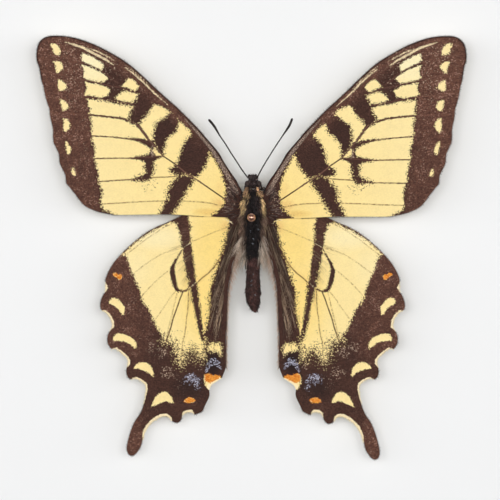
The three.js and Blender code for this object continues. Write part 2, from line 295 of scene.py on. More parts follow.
FOREWING_MARKS = [
    ("yellow", 0.16, [
        (22.0, 20.5), (24, 20.9), (26, 21.3), (28, 21.75), (30.4, 22.0), (30.4, 21.2),
        (30.1, 20.4), (30.2, 19.2), (29.9, 17.5), (29.9, 15.3), (29.7, 14), (29.4, 13.3),
        (29.2, 12.2), (29.4, 11.6), (29.1, 10), (28.9, 9), (28.7, 7.4), (28.6, 6.4),
        (28.2, 5.6), (27.9, 4.8), (28.1, 3.4), (28.2, 2.6), (27.9, 1.8), (27.5, 1.2),
        (26, 0.6), (24, -0.6), (8.2, -1), (7.5, 0.3), (6.8, 0.7), (6.1, 1.35), (5.5, 2.1),
        (5.2, 2.7), (5.3, 3.4), (5, 4.2), (5.1, 5), (5.2, 6), (5.5, 7), (5.8, 8), (6.3, 9),
        (6.8, 10),
        (7.4, 11.1), (8.1, 11.8), (9.6, 13.6), (11.3, 15.5), (12.2, 16.6), (13, 17.3),
        (13.7, 17.6), (15.3, 19.3), (16, 20.1), (17, 20.6), (18.1, 20.8), (21, 21.6),
    ]),
    ("dark", 0.2, [
        (17.9, 21.4), (18.5, 20.3), (19.1, 19.4), (19.8, 18.7), (20.4, 18.1), (20.7, 17.6),
        (21, 17.1), (21.5, 16.9), (22.6, 17.5), (23.3, 18.1), (22.8, 19.3), (22.2, 20.4),
        (22.1, 21.1), (21.6, 21.9), (20.6, 23),
    ]),
    ("dark", 0.2, [
        (13.4, 18.4), (13.7, 17.2), (13.9, 16.2), (14.3, 15.6), (15.1, 15.2), (15.6, 14.6),
        (16.1, 14), (16.45, 12.6), (16.4, 11.4), (16.7, 11.2), (17.4, 12), (18.2, 13),
        (18.6, 14.5), (18.4, 16.3), (18.1, 17.3), (17.1, 17.9), (16.1, 18.8), (15.3, 19.4),
        (14.8, 20.2),
    ]),
    ("dark", 0.2, [
        (7.4, 12.8), (7.9, 11.8), (8.2, 10.9), (8.4, 10), (8.8, 9.2), (9.6, 8.2), (10.2, 7.3),
        (11.6, 7.5), (12.4, 7.8), (13.8, 7.5), (15.1, 8), (15.6, 8.7), (15, 9.3),
        (14.3, 9.5), (14, 10.1), (13.7, 11), (13.5, 12), (12.9, 13.6), (12.3, 14.4),
        (11.6, 15.1), (10.8, 16),
    ]),
    ("dark", 0.26, [
        (10.7, 7.4), (10.8, 6.8), (11.3, 5.8), (12.1, 4.8), (12.6, 3.8), (13.1, 3),
        (13.9, 1.6), (14.6, 0.6), (15, -0.6), (17.4, -0.6), (17.2, 0.6), (16.4, 2.4),
        (15.8, 3.3), (15.9, 4.2), (15.8, 5.1), (15.1, 6), (14.4, 6.8), (13.9, 7.6),
        (12.4, 8),
    ]),
    ("dark", 0.11, [
        (24.2, 14.7), (23.1, 14.75), (22, 14.65), (21, 14.6), (20.2, 14.45), (19.4, 14.1),
        (18.7, 14.2), (17.9, 13.3), (18.3, 12.75), (18.5, 12.2), (18.4, 11.7), (17.8, 11.25),
        (17, 11.25), (16.3, 11.2), (16.3, 11.05), (17.2, 10.8), (17.9, 10.4), (18.4, 10),
        (18.5, 9.4), (19.7, 9.6), (20.0, 9.95), (20.6, 10.25), (21.3, 10.5), (22.8, 10.65),
        (22.8, 10.95), (21.3, 11.1), (20.6, 11.2), (20, 11.35), (19.5, 11.5), (19.2, 11.8),
        (19.05, 12.2), (19.1, 12.7), (19.5, 13.05), (20.2, 13.45), (21, 13.8), (21.9, 14.15),
        (22.6, 14.4),
    ]),
    ("dark", 0.22, [
        (18.35, 10.2), (18.25, 9.4), (18.3, 8.4), (18.5, 7.6), (18.8, 6.9), (19.5, 6.3),
        (20.5, 6.3), (21.3, 6.35), (22.6, 6.45), (22.6, 6.65), (21.8, 6.95), (20.9, 7.3),
        (20.2, 7.7), (19.9, 8.2), (20.2, 8.9), (20.2, 9.3), (19.8, 9.9), (19.4, 10.4),
    ]),
    ("yellow", 0.09, [
        (20.8, 24.3), (21.8, 25.4), (22.7, 25.85), (23.2, 25.4), (24.1, 24.4), (23, 24.05),
        (21.7, 23.4),
    ]),
    ("yellow", 0.16, [
        (21.1, 22.7), (22.1, 21.3), (24, 21.55), (25.2, 21.7), (25.2, 22.2), (24.6, 22.9),
        (23.9, 23.4), (23.1, 23.5), (22.3, 23.2),
    ]),
    ("yellow", 0.09, [
        (27.3, 28.4), (28.5, 29.3), (30, 30.2), (31.3, 30.6), (31.4, 29.4), (31.1, 29),
        (29, 28), (27.6, 27.2),
    ]),
    ("yellow", 0.09, [
        (26.6, 25.9), (27.3, 26.6), (29, 27.6), (31.5, 28.6), (31, 27.3), (31.3, 26.1),
        (30.8, 25.8), (28.5, 25.2), (27.3, 25.2),
    ]),
    ("yellow", 0.09, [
        (26.3, 23.7), (27, 24.2), (28, 24.7), (30.8, 25.2), (30.6, 24.2), (31, 22.8),
        (28, 22.3), (26.8, 22.6),
    ]),
    ("yellow", 0.09, [
        (35.9, 32.3), (36.9, 32.6), (37.1, 32.2), (36.6, 30.6), (36, 30.3), (35.3, 30.5),
        (35.2, 31), (35.5, 31.8),
    ]),
    ("yellow", 0.09, [
        (35.3, 28.9), (36, 29.2), (36.7, 29.1), (36.3, 28.3), (36.2, 27.2), (36, 26.9),
        (34.9, 27.9), (35, 28.4),
    ]),
    ("yellow", 0.09, [
        (35.9, 25.8), (35.2, 25.5), (34.6, 25), (34.3, 24.4), (34.7, 24), (35.4, 23.6),
        (35.8, 23.7), (36, 24.3),
    ]),
    ("yellow", 0.09, [
        (35.6, 22.1), (34.8, 21.8), (34.2, 21.2), (34.1, 20.6), (34.6, 20.1), (35.1, 19.9),
        (35.4, 20.4), (35.6, 21.3),
    ]),
    ("yellow", 0.09, [
        (35.1, 18.5), (34.5, 18.4), (34.1, 18), (33.9, 17.2), (34.1, 16.5), (34.8, 15.9),
        (35.1, 16.3), (35.2, 17.3),
    ]),
    ("yellow", 0.09, [
        (34.8, 14.2), (34.4, 14.1), (33.8, 13), (33.8, 12.4), (34.1, 11.8), (34.4, 11.8),
        (34.8, 13.4),
    ]),
    ("yellow", 0.09, [
        (33.6, 9.2), (33.4, 9.3), (32.9, 8.2), (32.9, 7.8), (33.2, 7.7), (33.6, 8.2),
    ]),
    ("dark", 0.06, [(23.1, 17.95, 0.26), (24.5, 18.4, 0.18), (26.5, 18.7, 0.17),
                    (30.4, 19.1, 0.2)]),
    ("dark", 0.1, [
        (22.1, 21, 0.2), (24, 21.3, 0.2), (26, 21.8, 0.4), (27, 22, 0.42), (28, 22.1, 0.22),
        (30.8, 22.5, 0.17),
    ]),
    ("dark", 0.05, [(22.5, 14.5, 0.14), (24, 14.65, 0.12), (26, 14.9, 0.1), (30, 15.2, 0.12)]),
    ("dark", 0.05, [(22.5, 10.8, 0.1), (23.5, 10.8, 0.06), (26, 10.85, 0.07), (29, 10.9, 0.1)]),
    ("dark", 0.05, [(22.3, 6.6, 0.1), (23.5, 6.55, 0.05), (26, 6.5, 0.05), (28.5, 6.5, 0.1)]),
    ("dark", 0.05, [(8.4, 5.5, 0.07), (10.5, 6.9, 0.1), (12.3, 8, 0.2)]),
    ("dark", 0.05, [(18.6, 13.6, 0.14), (19.2, 14.2, 0.2), (20, 15.3, 0.24), (20.8, 16.4, 0.27),
                    (21.5, 17.3, 0.35)]),
]
FOREWING_VEINS = [
    (1.0, [(3.2, 2.6), (5.3, 3.4), (8, 5.2), (10.5, 6.9), (12.3, 8), (14.4, 9.7), (16.6, 11.2),
           (18, 12.9), (19.2, 14.2), (20, 15.3), (20.8, 16.4), (21.5, 17.3)]),
    (0.7, [(18.7, 13.2), (20, 14), (22, 14.3), (24, 14.6), (26, 14.9), (28, 15.05),
           (29.8, 15.2), (33, 15.3), (37, 15.3)]),
    (0.8, [(16.8, 11.2), (20, 10.9), (22.8, 10.75), (29, 10.9), (33, 10.8), (35.9, 10.6)]),
    (0.7, [(12.3, 8), (14, 7.4), (16, 7.2), (18, 7.1), (20, 6.8), (22.4, 6.6), (28.5, 6.5),
           (34.6, 6.5)]),
    (0.55, [(3, 1.9), (6, 2.1), (8, 2.5), (10, 2.7), (12, 2.75), (14, 2.9), (15.6, 2.8),
            (20, 2.7), (24, 2.5), (28, 2.4), (31.4, 2.4)]),
    (0.8, [(21.5, 17.3), (23, 17.9), (24.5, 18.4), (26.5, 18.7), (30.2, 19.1), (34, 19.2),
           (37.6, 19.4)]),
    (0.8, [(21.6, 19.2), (22.1, 21), (24, 21.3), (26, 21.7), (28, 22.1), (30.7, 22.5),
           (34, 22.9), (38.4, 23.4)]),
    (0.8, [(21, 22.9), (23, 23.6), (24, 24.1), (26.5, 24.5), (28, 24.9), (31, 25.6),
           (35, 26.5), (39.1, 27.4)]),
    (0.8, [(24.8, 24.9), (26.8, 26.5), (28.5, 27.7), (31.2, 28.9), (34.5, 29.9), (39.6, 30.6)]),
    (0.6, [(3, 5.2), (5, 8), (7.5, 11.4), (11, 15.6), (15, 19.8), (18.5, 21.6), (21, 22.9)]),
    (0.7, [(3, 6), (6, 10.4), (9, 13.9), (12.5, 17.6), (16, 21), (20, 25), (24, 28), (27, 29.6),
           (30, 31.2), (34, 32.8)]),
]
FOREWING_GOLD = [
    [(25.5, 28.3, 0.1), (27, 29.4, 0.18), (29, 30.45, 0.22), (31, 31.6, 0.22), (33, 32.3, 0.17),
     (34.4, 32.7, 0.05)],
    [(15.6, 20.8, 0.03), (18, 22.95, 0.12), (20, 25, 0.14), (22, 26.8, 0.12),
     (23.4, 27.8, 0.05)],
    [(18.6, 24.1, 0.01), (20.2, 25.7, 0.05), (22, 27.3, 0.06), (23.4, 28.3, 0.02)],
    [(25.2, 29.1, 0.04), (27, 30.15, 0.1), (28.8, 31.05, 0.12), (30.4, 31.6, 0.05)],
]
COSTAL_STRIP = [
    (2.8, 4.5, 0.3), (3.3, 5.5, 0.36), (4.2, 7.0, 0.4), (5.15, 8.7, 0.4), (6.2, 10.4, 0.38),
    (7.4, 12.3, 0.34), (9.1, 14.4, 0.28), (10.9, 16.5, 0.2), (12.6, 18.3, 0.1),
]

# The hindwing's outline, marks, veins, rim and small spots
HINDWING_OUTLINE = [
    (1.9, 2.2), (4, 3.2), (6.5, 3.3), (9, 2.7), (11, 1.8), (12.7, 0.8), (13.7, 0.25),
    (14.6, -0.2), (15.5, -0.6), (16.5, -1.05), (17.5, -1.45), (18.5, -1.95), (19.5, -2.5),
    (20.5, -3.2), (21.5, -3.95), (22.5, -4.8), (23.5, -5.75), (24.3, -6.55), (25, -7.3),
    (25.7, -8.1), (26.3, -9), (26.8, -9.85), (27.2, -10.8), (27.4, -11.6), (27.35, -12.3),
    (27.4, -12.9), (27.4, -13.6), (27.75, -14.2), (28.1, -14.9), (28.3, -15.6), (28.4, -16.3),
    (28.25, -16.9), (28, -17.2), (27.5, -17.4), (27, -17.85), (26.6, -18.4), (26.3, -19),
    (26.15, -19.6), (26.15, -20.1), (26.35, -20.7), (26.7, -21.2), (26.95, -21.8),
    (27.05, -22.5), (27, -23.1), (26.8, -23.65), (26.5, -24.1), (26.25, -24.35), (26, -24.25),
    (25.4, -24.35), (24.7, -24.8), (24.2, -25.3), (23.6, -25.8), (23.25, -26.4), (23.15, -27),
    (23.3, -27.5), (23.45, -28), (23.5, -28.6), (23.4, -29.2), (23.15, -29.7), (22.7, -30),
    (22.3, -29.85), (21.7, -29.85), (21, -30.15), (20.4, -30.55), (20, -31), (19.85, -31.5),
    (19.85, -32), (19.95, -32.7), (20.05, -33.5), (20.2, -34.3), (20.4, -35.1), (20.7, -35.9),
    (21.1, -36.7), (21.6, -37.4), (22.1, -38.2), (22.5, -39.1), (22.9, -40.2), (23.2, -41.2),
    (23.5, -42.3), (23.7, -43.4), (23.65, -44.1), (23.4, -44.7), (23, -44.95), (22.6, -44.95),
    (22.1, -44.6), (21.7, -44.1), (21.3, -43.5), (21, -42.8), (20.8, -42), (20.55, -41.3),
    (20.4, -40.7), (20.1, -39.95), (19.7, -39.25), (19.2, -38.6), (18.6, -38.0),
    (17.9, -37.5), (17.2, -37.1), (16.6, -36.9), (16.1, -36.9), (15.7, -37.1),
    (15.4, -37.4), (15.2, -37.75), (14.9, -38.05), (14.5, -38.2), (14.1, -38.3), (13.7, -38.05),
    (13.35, -37.6), (13.2, -37.1), (13, -36.6), (12.6, -36.25), (12, -36.1), (11.4, -36.1),
    (11, -36.35), (10.8, -36.6), (10.3, -36.45), (9.8, -36.2), (9.4, -35.95), (9.1, -35.4),
    (8.7, -34.6), (8.4, -34), (8.1, -33.3), (8, -32.7), (8.05, -32.2), (8, -31.7),
    (7.6, -31), (7.1, -30.65), (6.6, -30.35), (6.2, -30.05), (5.75, -29.8), (5.5, -29.2),
    (5.2, -28.5), (5, -27.8), (4.95, -27), (4.9, -26), (4.9, -25), (4.95, -24), (4.95, -22),
    (4.85, -20), (4.8, -18), (4.7, -16), (4.6, -14), (4.45, -12.5), (4.2, -11), (4, -10),
    (3.75, -8.5), (3.4, -7.5), (3, -6.5), (2.6, -5.5), (2.2, -4.4), (1.8, -2.4), (1.7, 0),
]
SMALL_ORANGE = [
    (10.65, -33.9), (11.1, -33.6), (11.7, -33.4), (12.2, -33.55), (12.75, -34.05),
    (12.3, -34.25), (11.6, -34.36), (11, -34.2),
]
FRONT_ORANGE = [
    (24.3, -10.8), (24.7, -10.5), (25.1, -10.6), (25.4, -10.2), (25.9, -10.3), (25.95, -10.6),
    (25.4, -10.9), (25.1, -11.1), (24.8, -11.4), (24.5, -11.3),
]
HINDWING_MARKS = [
    ("yellow", 0.16, [
        (4.7, 4.5), (11.5, 2.5), (14, -0.45), (15.5, -0.95), (16.5, -1.4), (18.5, -2.3),
        (20.5, -3.5), (22.5, -5.1), (23.5, -6.05), (24.2, -6.8), (23.8, -6.9), (23.4, -7.2),
        (23.1, -8), (22.8, -9), (22.4, -10.2), (22.2, -10.7), (21.8, -11.5), (21.4, -12.5),
        (21, -13.4), (20.8, -14.4), (20.7, -14.9), (20.4, -15.6), (19.8, -16.2), (19.2, -17),
        (18.9, -17.8), (18.6, -18.6), (18.2, -19.4), (18, -20), (17.5, -20.9), (16.9, -21.6),
        (15.5, -21.9), (14, -22.1), (12, -22.2), (9.4, -22.4), (9, -21.6), (8.8, -21), (8.5, -20),
        (8.3, -19), (8.1, -18), (7.9, -17), (8, -16), (7.95, -14), (7.9, -13), (7.7, -12.4),
        (7.3, -11.6), (7, -10.6), (6.7, -9.6), (6.4, -8.6), (6.1, -7.6), (5.7, -6.5),
        (5.4, -5.5), (5, -4.5), (4.9, -3.5), (4.7, -2.5), (4.6, -1.5), (4.4, -0.6), (4.8, 0.4),
    ]),
    ("yellow", 0.7, [
        (9.2, -19.5), (9.1, -24.4), (9.4, -26), (10, -25), (11, -24.3), (12, -24.4),
        (12.6, -25.4), (13.3, -26.6), (13.9, -25.1), (14, -24), (14.6, -23.3), (15.5, -22.9),
        (16.4, -22.4), (17.2, -20.8), (16, -19.5),
    ]),
    ("dark", 0.14, [
        (11.9, 1), (11.8, -0.6), (11.5, -1.3), (11.4, -2), (11.7, -2.6), (11.5, -3.6),
        (11.4, -4.5), (11.3, -5.3), (11.2, -6.2), (11.1, -7.2), (10.9, -8.2), (10.8, -9.2),
        (10.65, -10.2), (10.55, -11), (10.45, -11.8), (10.25, -12.6), (10.1, -13.6), (10, -14.6),
        (9.85, -15.6), (9.7, -16.6), (9.6, -17.6), (9.5, -18.6), (9.4, -19.6), (9.2, -20.6),
        (9, -21.6), (8.8, -23), (9.4, -22.9), (9.7, -22), (9.95, -21.2), (10.2, -20.3),
        (10.4, -19.4), (10.55, -18.4), (10.75, -17.4), (10.95, -16.4), (11.15, -15.7), (11.3, -15),
        (11.4, -14), (11.5, -13.3), (11.9, -12.8), (12, -12), (12, -11.2), (12.2, -10.4),
        (12.4, -9.6), (12.6, -8.8), (12.8, -8), (12.9, -7.2), (13, -6.4), (13.1, -5.6),
        (13.3, -4.8), (13.4, -3.9), (13.5, -3), (13.8, -2.2), (14, -1.4), (14.4, -0.9),
        (15.4, -0.7), (14.4, 0.6),
    ]),
    ("dark", 0.07, [
        (13.2, -5.8), (13.9, -6.95), (14.5, -7.75), (15, -8.6), (15.4, -9.5), (15.35, -10.4),
        (15.2, -11.3), (15, -12.1), (14.7, -12.8), (14.4, -13.5), (14.1, -13.7), (13.5, -13.75),
        (13, -13.75), (12.4, -13.6), (11.9, -13.2), (11.9, -12.9), (12.5, -13.3), (13, -13.45),
        (13.5, -13.2), (13.8, -13.05), (13.95, -12.6), (14.15, -11.8), (14.3, -10.9),
        (14.46, -10.1), (14.5, -9.3), (14.3, -8.4), (13.85, -7.4), (13.35, -6.6),
    ]),
    ("yellow", 0.06, [
        (23.8, -16.5), (23.9, -17.3), (24, -18), (24.3, -18), (24.6, -17.5), (25.1, -16.8),
        (25.8, -16.3), (26.5, -15.9), (26.75, -15.6), (26.6, -15.2), (26.2, -14.9),
        (25.7, -14.8), (25.2, -15), (24.7, -15.4), (24.3, -15.9),
    ]),
    ("yellow", 0.06, [
        (21.6, -23.6), (21.6, -24.1), (21.8, -24.4), (22, -24.1), (22.6, -23.7), (23.2, -23.25),
        (23.8, -22.95), (25.2, -22.8), (25.9, -22.8), (26, -22.4), (25.7, -21.8),
        (25.4, -21.45), (24.7, -21.45), (23.9, -21.6), (23.2, -21.9), (22.5, -22.2),
        (22, -22.7), (21.7, -23.2),
    ]),
    ("yellow", 0.06, [
        (18.4, -28.7), (18.4, -29.3), (18.6, -29.6), (18.8, -29.3), (19.2, -28.9), (20, -28.5),
        (20.8, -28.2), (21.6, -28.05), (22.2, -28), (22, -27.6), (21.6, -27.2), (21, -26.9),
        (20.5, -26.8), (19.9, -26.9), (19.3, -27.2), (18.8, -27.7), (18.6, -28.2),
    ]),
    ("yellow", 0.06, [
        (14.7, -34.4), (15, -33.6), (15.3, -33), (15.7, -32.5), (16.3, -32.3), (17, -32.45),
        (17.6, -32.8), (18.1, -33.3), (18.4, -33.9), (18.75, -34.7), (19, -35.2),
        (18.5, -35), (18, -34.8), (17.3, -34.5), (16.6, -34.2), (16, -34.1), (15.4, -34.3),
    ]),
    ("yellow", 0.22, [
        (5.7, -24.3), (5.9, -25.4), (6.3, -25.1), (6.9, -24.8), (7.5, -24.7), (8, -24.8),
        (8.5, -24.4), (8.4, -23.9), (8, -23.5), (7.4, -23.2), (6.8, -23.3), (6.1, -23.2),
        (6, -23.8),
    ]),
    ("yellow", 0.07, [
        (6.3, -29.55), (7.2, -29.45), (8.2, -29), (8.8, -29.1), (9, -29.7), (9, -30.8),
        (8.6, -31.5), (8.2, -31.9), (7, -32), (5, -30), (5.9, -29.7),
    ]),
    ("yellow", 0.05, SMALL_ORANGE),
    ("yellow", 0.05, FRONT_ORANGE),
    ("dark", 0.04, [(9, 2.65, 0.16), (12.7, 0.7, 0.16), (15.5, -0.7, 0.16), (18.5, -2.05, 0.14),
                    (20.5, -3.3, 0.12), (22.5, -4.9, 0.12), (24.3, -6.65, 0.14)]),
    ("dark", 0.2, [(12.8, -0.9, 0.9), (12.4, -4, 0.75), (11.9, -8, 0.75), (11.35, -12, 0.6)]),
    ("dark", 0.13, [(11.35, -12, 0.56), (10.6, -15.5, 0.38), (10, -18.5, 0.22), (9.4, -21.2, 0.13),
                    (9, -23.2, 0.16)]),
    ("dark", 0.34, [(4.6, -2.5, 0.12), (5.3, -5.5, 0.12), (6.4, -8.8, 0.14), (7.3, -11.8, 0.14),
                   (7.9, -14, 0.12), (7.9, -17, 0.12), (8.5, -20.5, 0.1)]),
]
HINDWING_VEINS = [
    (0.35, [(2.5, -0.6), (5, -1.8), (6.2, -2.2), (7.9, -2.9), (9.5, -3.6), (11.2, -4.3),
            (12.2, -5), (13.5, -5.6), (14.5, -5.8), (15.4, -6.1), (17, -6.7), (18.5, -7.6),
            (20, -8.6), (21.3, -9.6), (22.3, -10.3), (23.3, -11.3), (26, -13.2), (27.6, -14)]),
    (0.35, [(12.5, 0.2), (15, -1), (16.5, -1.7), (18, -2.7), (20, -4), (22, -5.6), (23.5, -6.7),
            (25.5, -8.6), (27, -10.6)]),
    (0.35, [(15.2, -9.4), (16.5, -10.4), (18, -11.7), (19.3, -13), (20.5, -14.3), (21.5, -15.4),
            (24.5, -18.6), (26.2, -19.8)]),
    (0.35, [(14.4, -13.7), (15.4, -14.9), (16.3, -16.3), (17.3, -17.7), (18.3, -19.1),
            (20.6, -22.1), (23.2, -26.6)]),
    (0.9, [(13, -13.8), (13.5, -15), (13.9, -16.2), (14.4, -17.6), (14.8, -18.7), (15.2, -20.3),
           (15.7, -21.8), (16.2, -23.2)]),
    (0.4, [(16.2, -23.2), (17.2, -25.6), (18.2, -28.5), (19.8, -31.6)]),
    (0.55, [(11.9, -13.4), (12, -16), (12.1, -17.5), (12.3, -18.5), (12.4, -20.2), (12.7, -22),
            (13, -23), (13.1, -24.9), (13.5, -28), (14.4, -33), (14.5, -38)]),
    (0.7, [(3.2, -3), (5, -5.8), (6.2, -7.6), (7, -8.9), (8.2, -10.2), (9.5, -11.2),
           (10.5, -12.2), (11.4, -13), (12.4, -13.5), (13.4, -13.7)]),
    (0.4, [(14, -13.7), (16, -22), (18.6, -31), (20.6, -36.6), (22, -41), (22.5, -44.6)]),
    (0.4, [(3, -4.4), (5.4, -9.5), (6.4, -14), (6.7, -19), (7.2, -24), (8.6, -29), (9.4, -35)]),
]
HINDWING_RIM = [
    [(27.4, -12, 0.03), (27.4, -12.9, 0.49), (27.5, -13.7, 0.07)],
    [(28, -17.2, 0.07), (27.5, -17.4, 0.29), (27, -17.85, 0.32), (26.5, -18.5, 0.32),
     (26.2, -19.3, 0.39), (26.15, -20.1, 0.39), (26.6, -21, 0.03)],
    [(26.1, -24.3, 0.07), (25.4, -24.35, 0.25), (24.6, -24.9, 0.29), (23.7, -25.7, 0.32),
     (23.2, -26.5, 0.41), (23.15, -27.1, 0.36), (23.4, -27.7, 0.03)],
    [(22.5, -29.9, 0.07), (21.7, -29.85, 0.29), (20.8, -30.25, 0.32), (20, -31, 0.39),
     (19.85, -31.8, 0.29), (20, -33, 0.2), (20.3, -34.6, 0.04)],
    [(15.2, -37.75, 0.1), (15.4, -37.4, 0.34), (16.1, -36.9, 0.46), (16.9, -37, 0.52),
     (17.9, -37.5, 0.5), (18.8, -38.2, 0.46), (19.6, -39.1, 0.44), (20.1, -39.95, 0.38),
     (20.4, -40.7, 0.28), (20.7, -41.7, 0.05)],
    [(13.1, -37, 0.04), (12.8, -36.4, 0.32), (12.2, -36.1, 0.43), (11.5, -36.1, 0.43),
     (11, -36.3, 0.14)],
    [(5.9, -29.9, 0.14), (6.6, -30.35, 0.29), (7.4, -30.85, 0.36), (7.9, -31.4, 0.58)],
]
ROOT_EDGE = [[(3.4, -1.2, 0.02), (4, -0.7, 0.07), (4.8, -0.35, 0.07), (6, -0.2, 0.01)]]
PALE_VEINS = [
    [(11.3, -4.45, 0.02), (12.3, -5.05, 0.05), (13.2, -5.6, 0.02)],
    [(10.2, -11.6, 0.02), (11, -12.4, 0.06), (11.8, -13.05, 0.03)],
]
TAN_VEIN = [(3.2, -3), (5, -5.8), (7, -8.9), (9.5, -11.2), (11.4, -13)]
BLUE_ARC = [
    (6.0, -27.9, 0.36), (6.5, -27.1, 0.65), (7.1, -26.65, 0.78), (7.7, -26.75, 0.68),
    (8.2, -27.4, 0.52), (8.6, -28.4, 0.4),
]
ANAL_ORANGE = [
    (5.9, -29.5), (6.4, -29.2), (7.3, -29.3), (8.2, -28.95), (8.75, -29.1), (8.9, -29.6),
    (8.75, -30.3), (8.3, -30.5), (7.9, -30.6), (7.3, -30.3), (6.7, -30),
]

# Soft patches on the wings, each as (x, y, x radius, y radius, strength)
FOREWING_PATCHES = {
    "dots": [(19.5, 5.4, 1.5, 1.2, 1.0), (18.2, 6.2, 0.9, 0.8, 0.8)],
    "frost": [
        (33, 26, 2.4, 7, 0.1), (31.5, 14, 2, 12, 0.05), (27, 27, 3, 6, 0.1),
        (18.5, 12.1, 0.5, 0.9, 0.7), (34.5, 30, 3, 3, 0.12), (4.6, 3.6, 1.6, 3.2, 0.2),
    ],
    "warm": [(8, 0.8, 5, 1.3, 0.95)],
    "pale": [(29, 29.5, 4, 2.6, 0.42), (29, 27, 4, 1.8, 0.28)],
    "soot": [(4, 2.5, 2, 3, 0.12), (16.5, 15.4, 2.2, 3.6, 0.2), (12, 11.4, 3.4, 3.4, 0.16)],
    "rust": [(6.4, 2.4, 1.2, 1.0, 0.35), (8.2, 0.8, 2.4, 0.6, 0.28), (6, 5, 0.8, 1.6, 0.15)],
}
HINDWING_PATCHES = {
    "warm": [(7, -5, 6, 8, 0.36), (9, -15, 5, 9, 0.36)],
    "pale": [(18, -3.5, 6, 2.2, 0.3), (22, -9, 3, 4, 0.14)],
    # Russet patches are reddish brown with a painted sheen
    "russet_and_sheen": [(22.4, -41.5, 2.4, 5, 0.9), (12, -6, 2.4, 9, 0.3), (13, -33, 4, 4, 0.2)],
    "frost": [
        (15.8, -28.8, 1.4, 1.1, 0.3), (16.8, -24.9, 1.3, 1.2, 0.3), (18.8, -24, 1.0, 1.0, 0.24),
        (14, -30.5, 1.2, 1.6, 0.08), (9.8, -27.2, 0.6, 1.4, 0.25), (22.6, -17, 1.6, 4, 0.05),
        (6.7, -17, 0.8, 6, 0.2),
    ],
    "soot": [
        (7.4, -27, 1.6, 2.4, 0.85), (12, -31.5, 3.2, 2.6, 0.6), (18, -25, 2, 3.4, 0.25),
        (4, -2, 1.6, 3.5, 0.35),
    ],
    "blue": [
        (11.4, -30, 1.4, 1.0, 0.46), (11.7, -29.6, 0.9, 0.6, 0.7), (10.4, -30.7, 0.6, 0.9, 0.56),
        (10.2, -31.6, 0.6, 0.6, 0.3),
    ],
    "rust": [(4.8, -1.6, 1.2, 1.2, 0.3)],
}
COSTA_POINTS = 30  # the forewing's outline starts with this many points along its front edge
DOT_EDGE = 0.25
DOT_CLEARANCE = 0.45  # loose dark scales lie this far from a mark, or further
DOT_FRAY = 0.2
FOREWING_ROOT = 2
YELLOW_FADE = 24  # the distance from the root over which the yellow pales
COSTA_SOOT = 0.24
# Russet is the margins' reddish brown, lightened by a painted sheen from the scales' tilt
COSTA_RUSSET_AND_SHEEN = 2.4
FOREWING_WARMTH = {"least": 0.36, "more": 0.64, "root": 0.92}
HINDWING_WARMTH = 0.58
# Where the margins turn reddish brown: partly their own colour, partly a painted sheen
OUTER_RUSSET_AND_SHEEN = {"from": 27.6, "slope": 0.11, "over": 1.2}
APEX_RUSSET_AND_SHEEN = {"least": 0.7, "more": 0.42, "from": 10, "over": 16}
FRONT_RUSSET_AND_SHEEN = {"most": 0.8, "from": 8, "over": 6}
HIND_RUSSET_AND_SHEEN = {"most": 0.68, "from": 15, "over": 8, "rear": -30, "fade": 6, "least": 0.3}
NO_PART = -1.0  # outside every stroke
ORANGE_SPREAD = 0.07


def nearness(places, line, reach):
    """1 on a line, falling smoothly to 0 about that far from it."""
    return np.exp(-((line_distance(places, line)[0] / reach) ** 4))


def forewing_fields(places):
    """What the forewing's scales are like at each place, as the fields that its material reads."""
    x, y = places.T
    patch = {name: blobs(places, spots) for name, spots in FOREWING_PATCHES.items()}
    dark, fray = painted(places, FOREWING_MARKS)
    dotted = (patch["dots"] > DOT_EDGE) & (dark < -DOT_CLEARANCE)
    dark = np.where(dotted, 0.24 * patch["dots"] - 0.6, dark)
    fray = np.where(dotted, DOT_FRAY, fray)
    costa = FOREWING_OUTLINE[:COSTA_POINTS]
    near_root = np.exp(-np.hypot(x - FOREWING_ROOT, y - FOREWING_ROOT) / YELLOW_FADE)
    band = OUTER_RUSSET_AND_SHEEN
    apex = APEX_RUSSET_AND_SHEEN
    front = FRONT_RUSSET_AND_SHEEN
    outer = ramp(x - band["slope"] * y, band["from"], band["over"])
    outer = outer * (apex["least"] + apex["more"] * ramp(y, apex["from"], apex["over"]))
    along = front["most"] * ramp(x, front["from"], front["over"])
    warm = np.maximum(FOREWING_WARMTH["root"] * near_root, patch["warm"])
    return {
        "dark": dark, "fray": fray, "frost": patch["frost"], "rust": patch["rust"],
        "strip": stroke_depth(places, COSTAL_STRIP),
        "warm": FOREWING_WARMTH["least"] + FOREWING_WARMTH["more"] * warm - patch["pale"],
        "soot": np.maximum(0.85 * nearness(places, costa, COSTA_SOOT), patch["soot"]),
        # Reddish brown along the outer margin and the front edge, partly a painted sheen
        "russet_and_sheen": np.maximum(outer, along * nearness(places, costa, COSTA_RUSSET_AND_SHEEN)),
        "blue": np.zeros(len(places)),
        "orange": np.full(len(places), NO_PART),
        "gold": deepest(places, FOREWING_GOLD),
    }


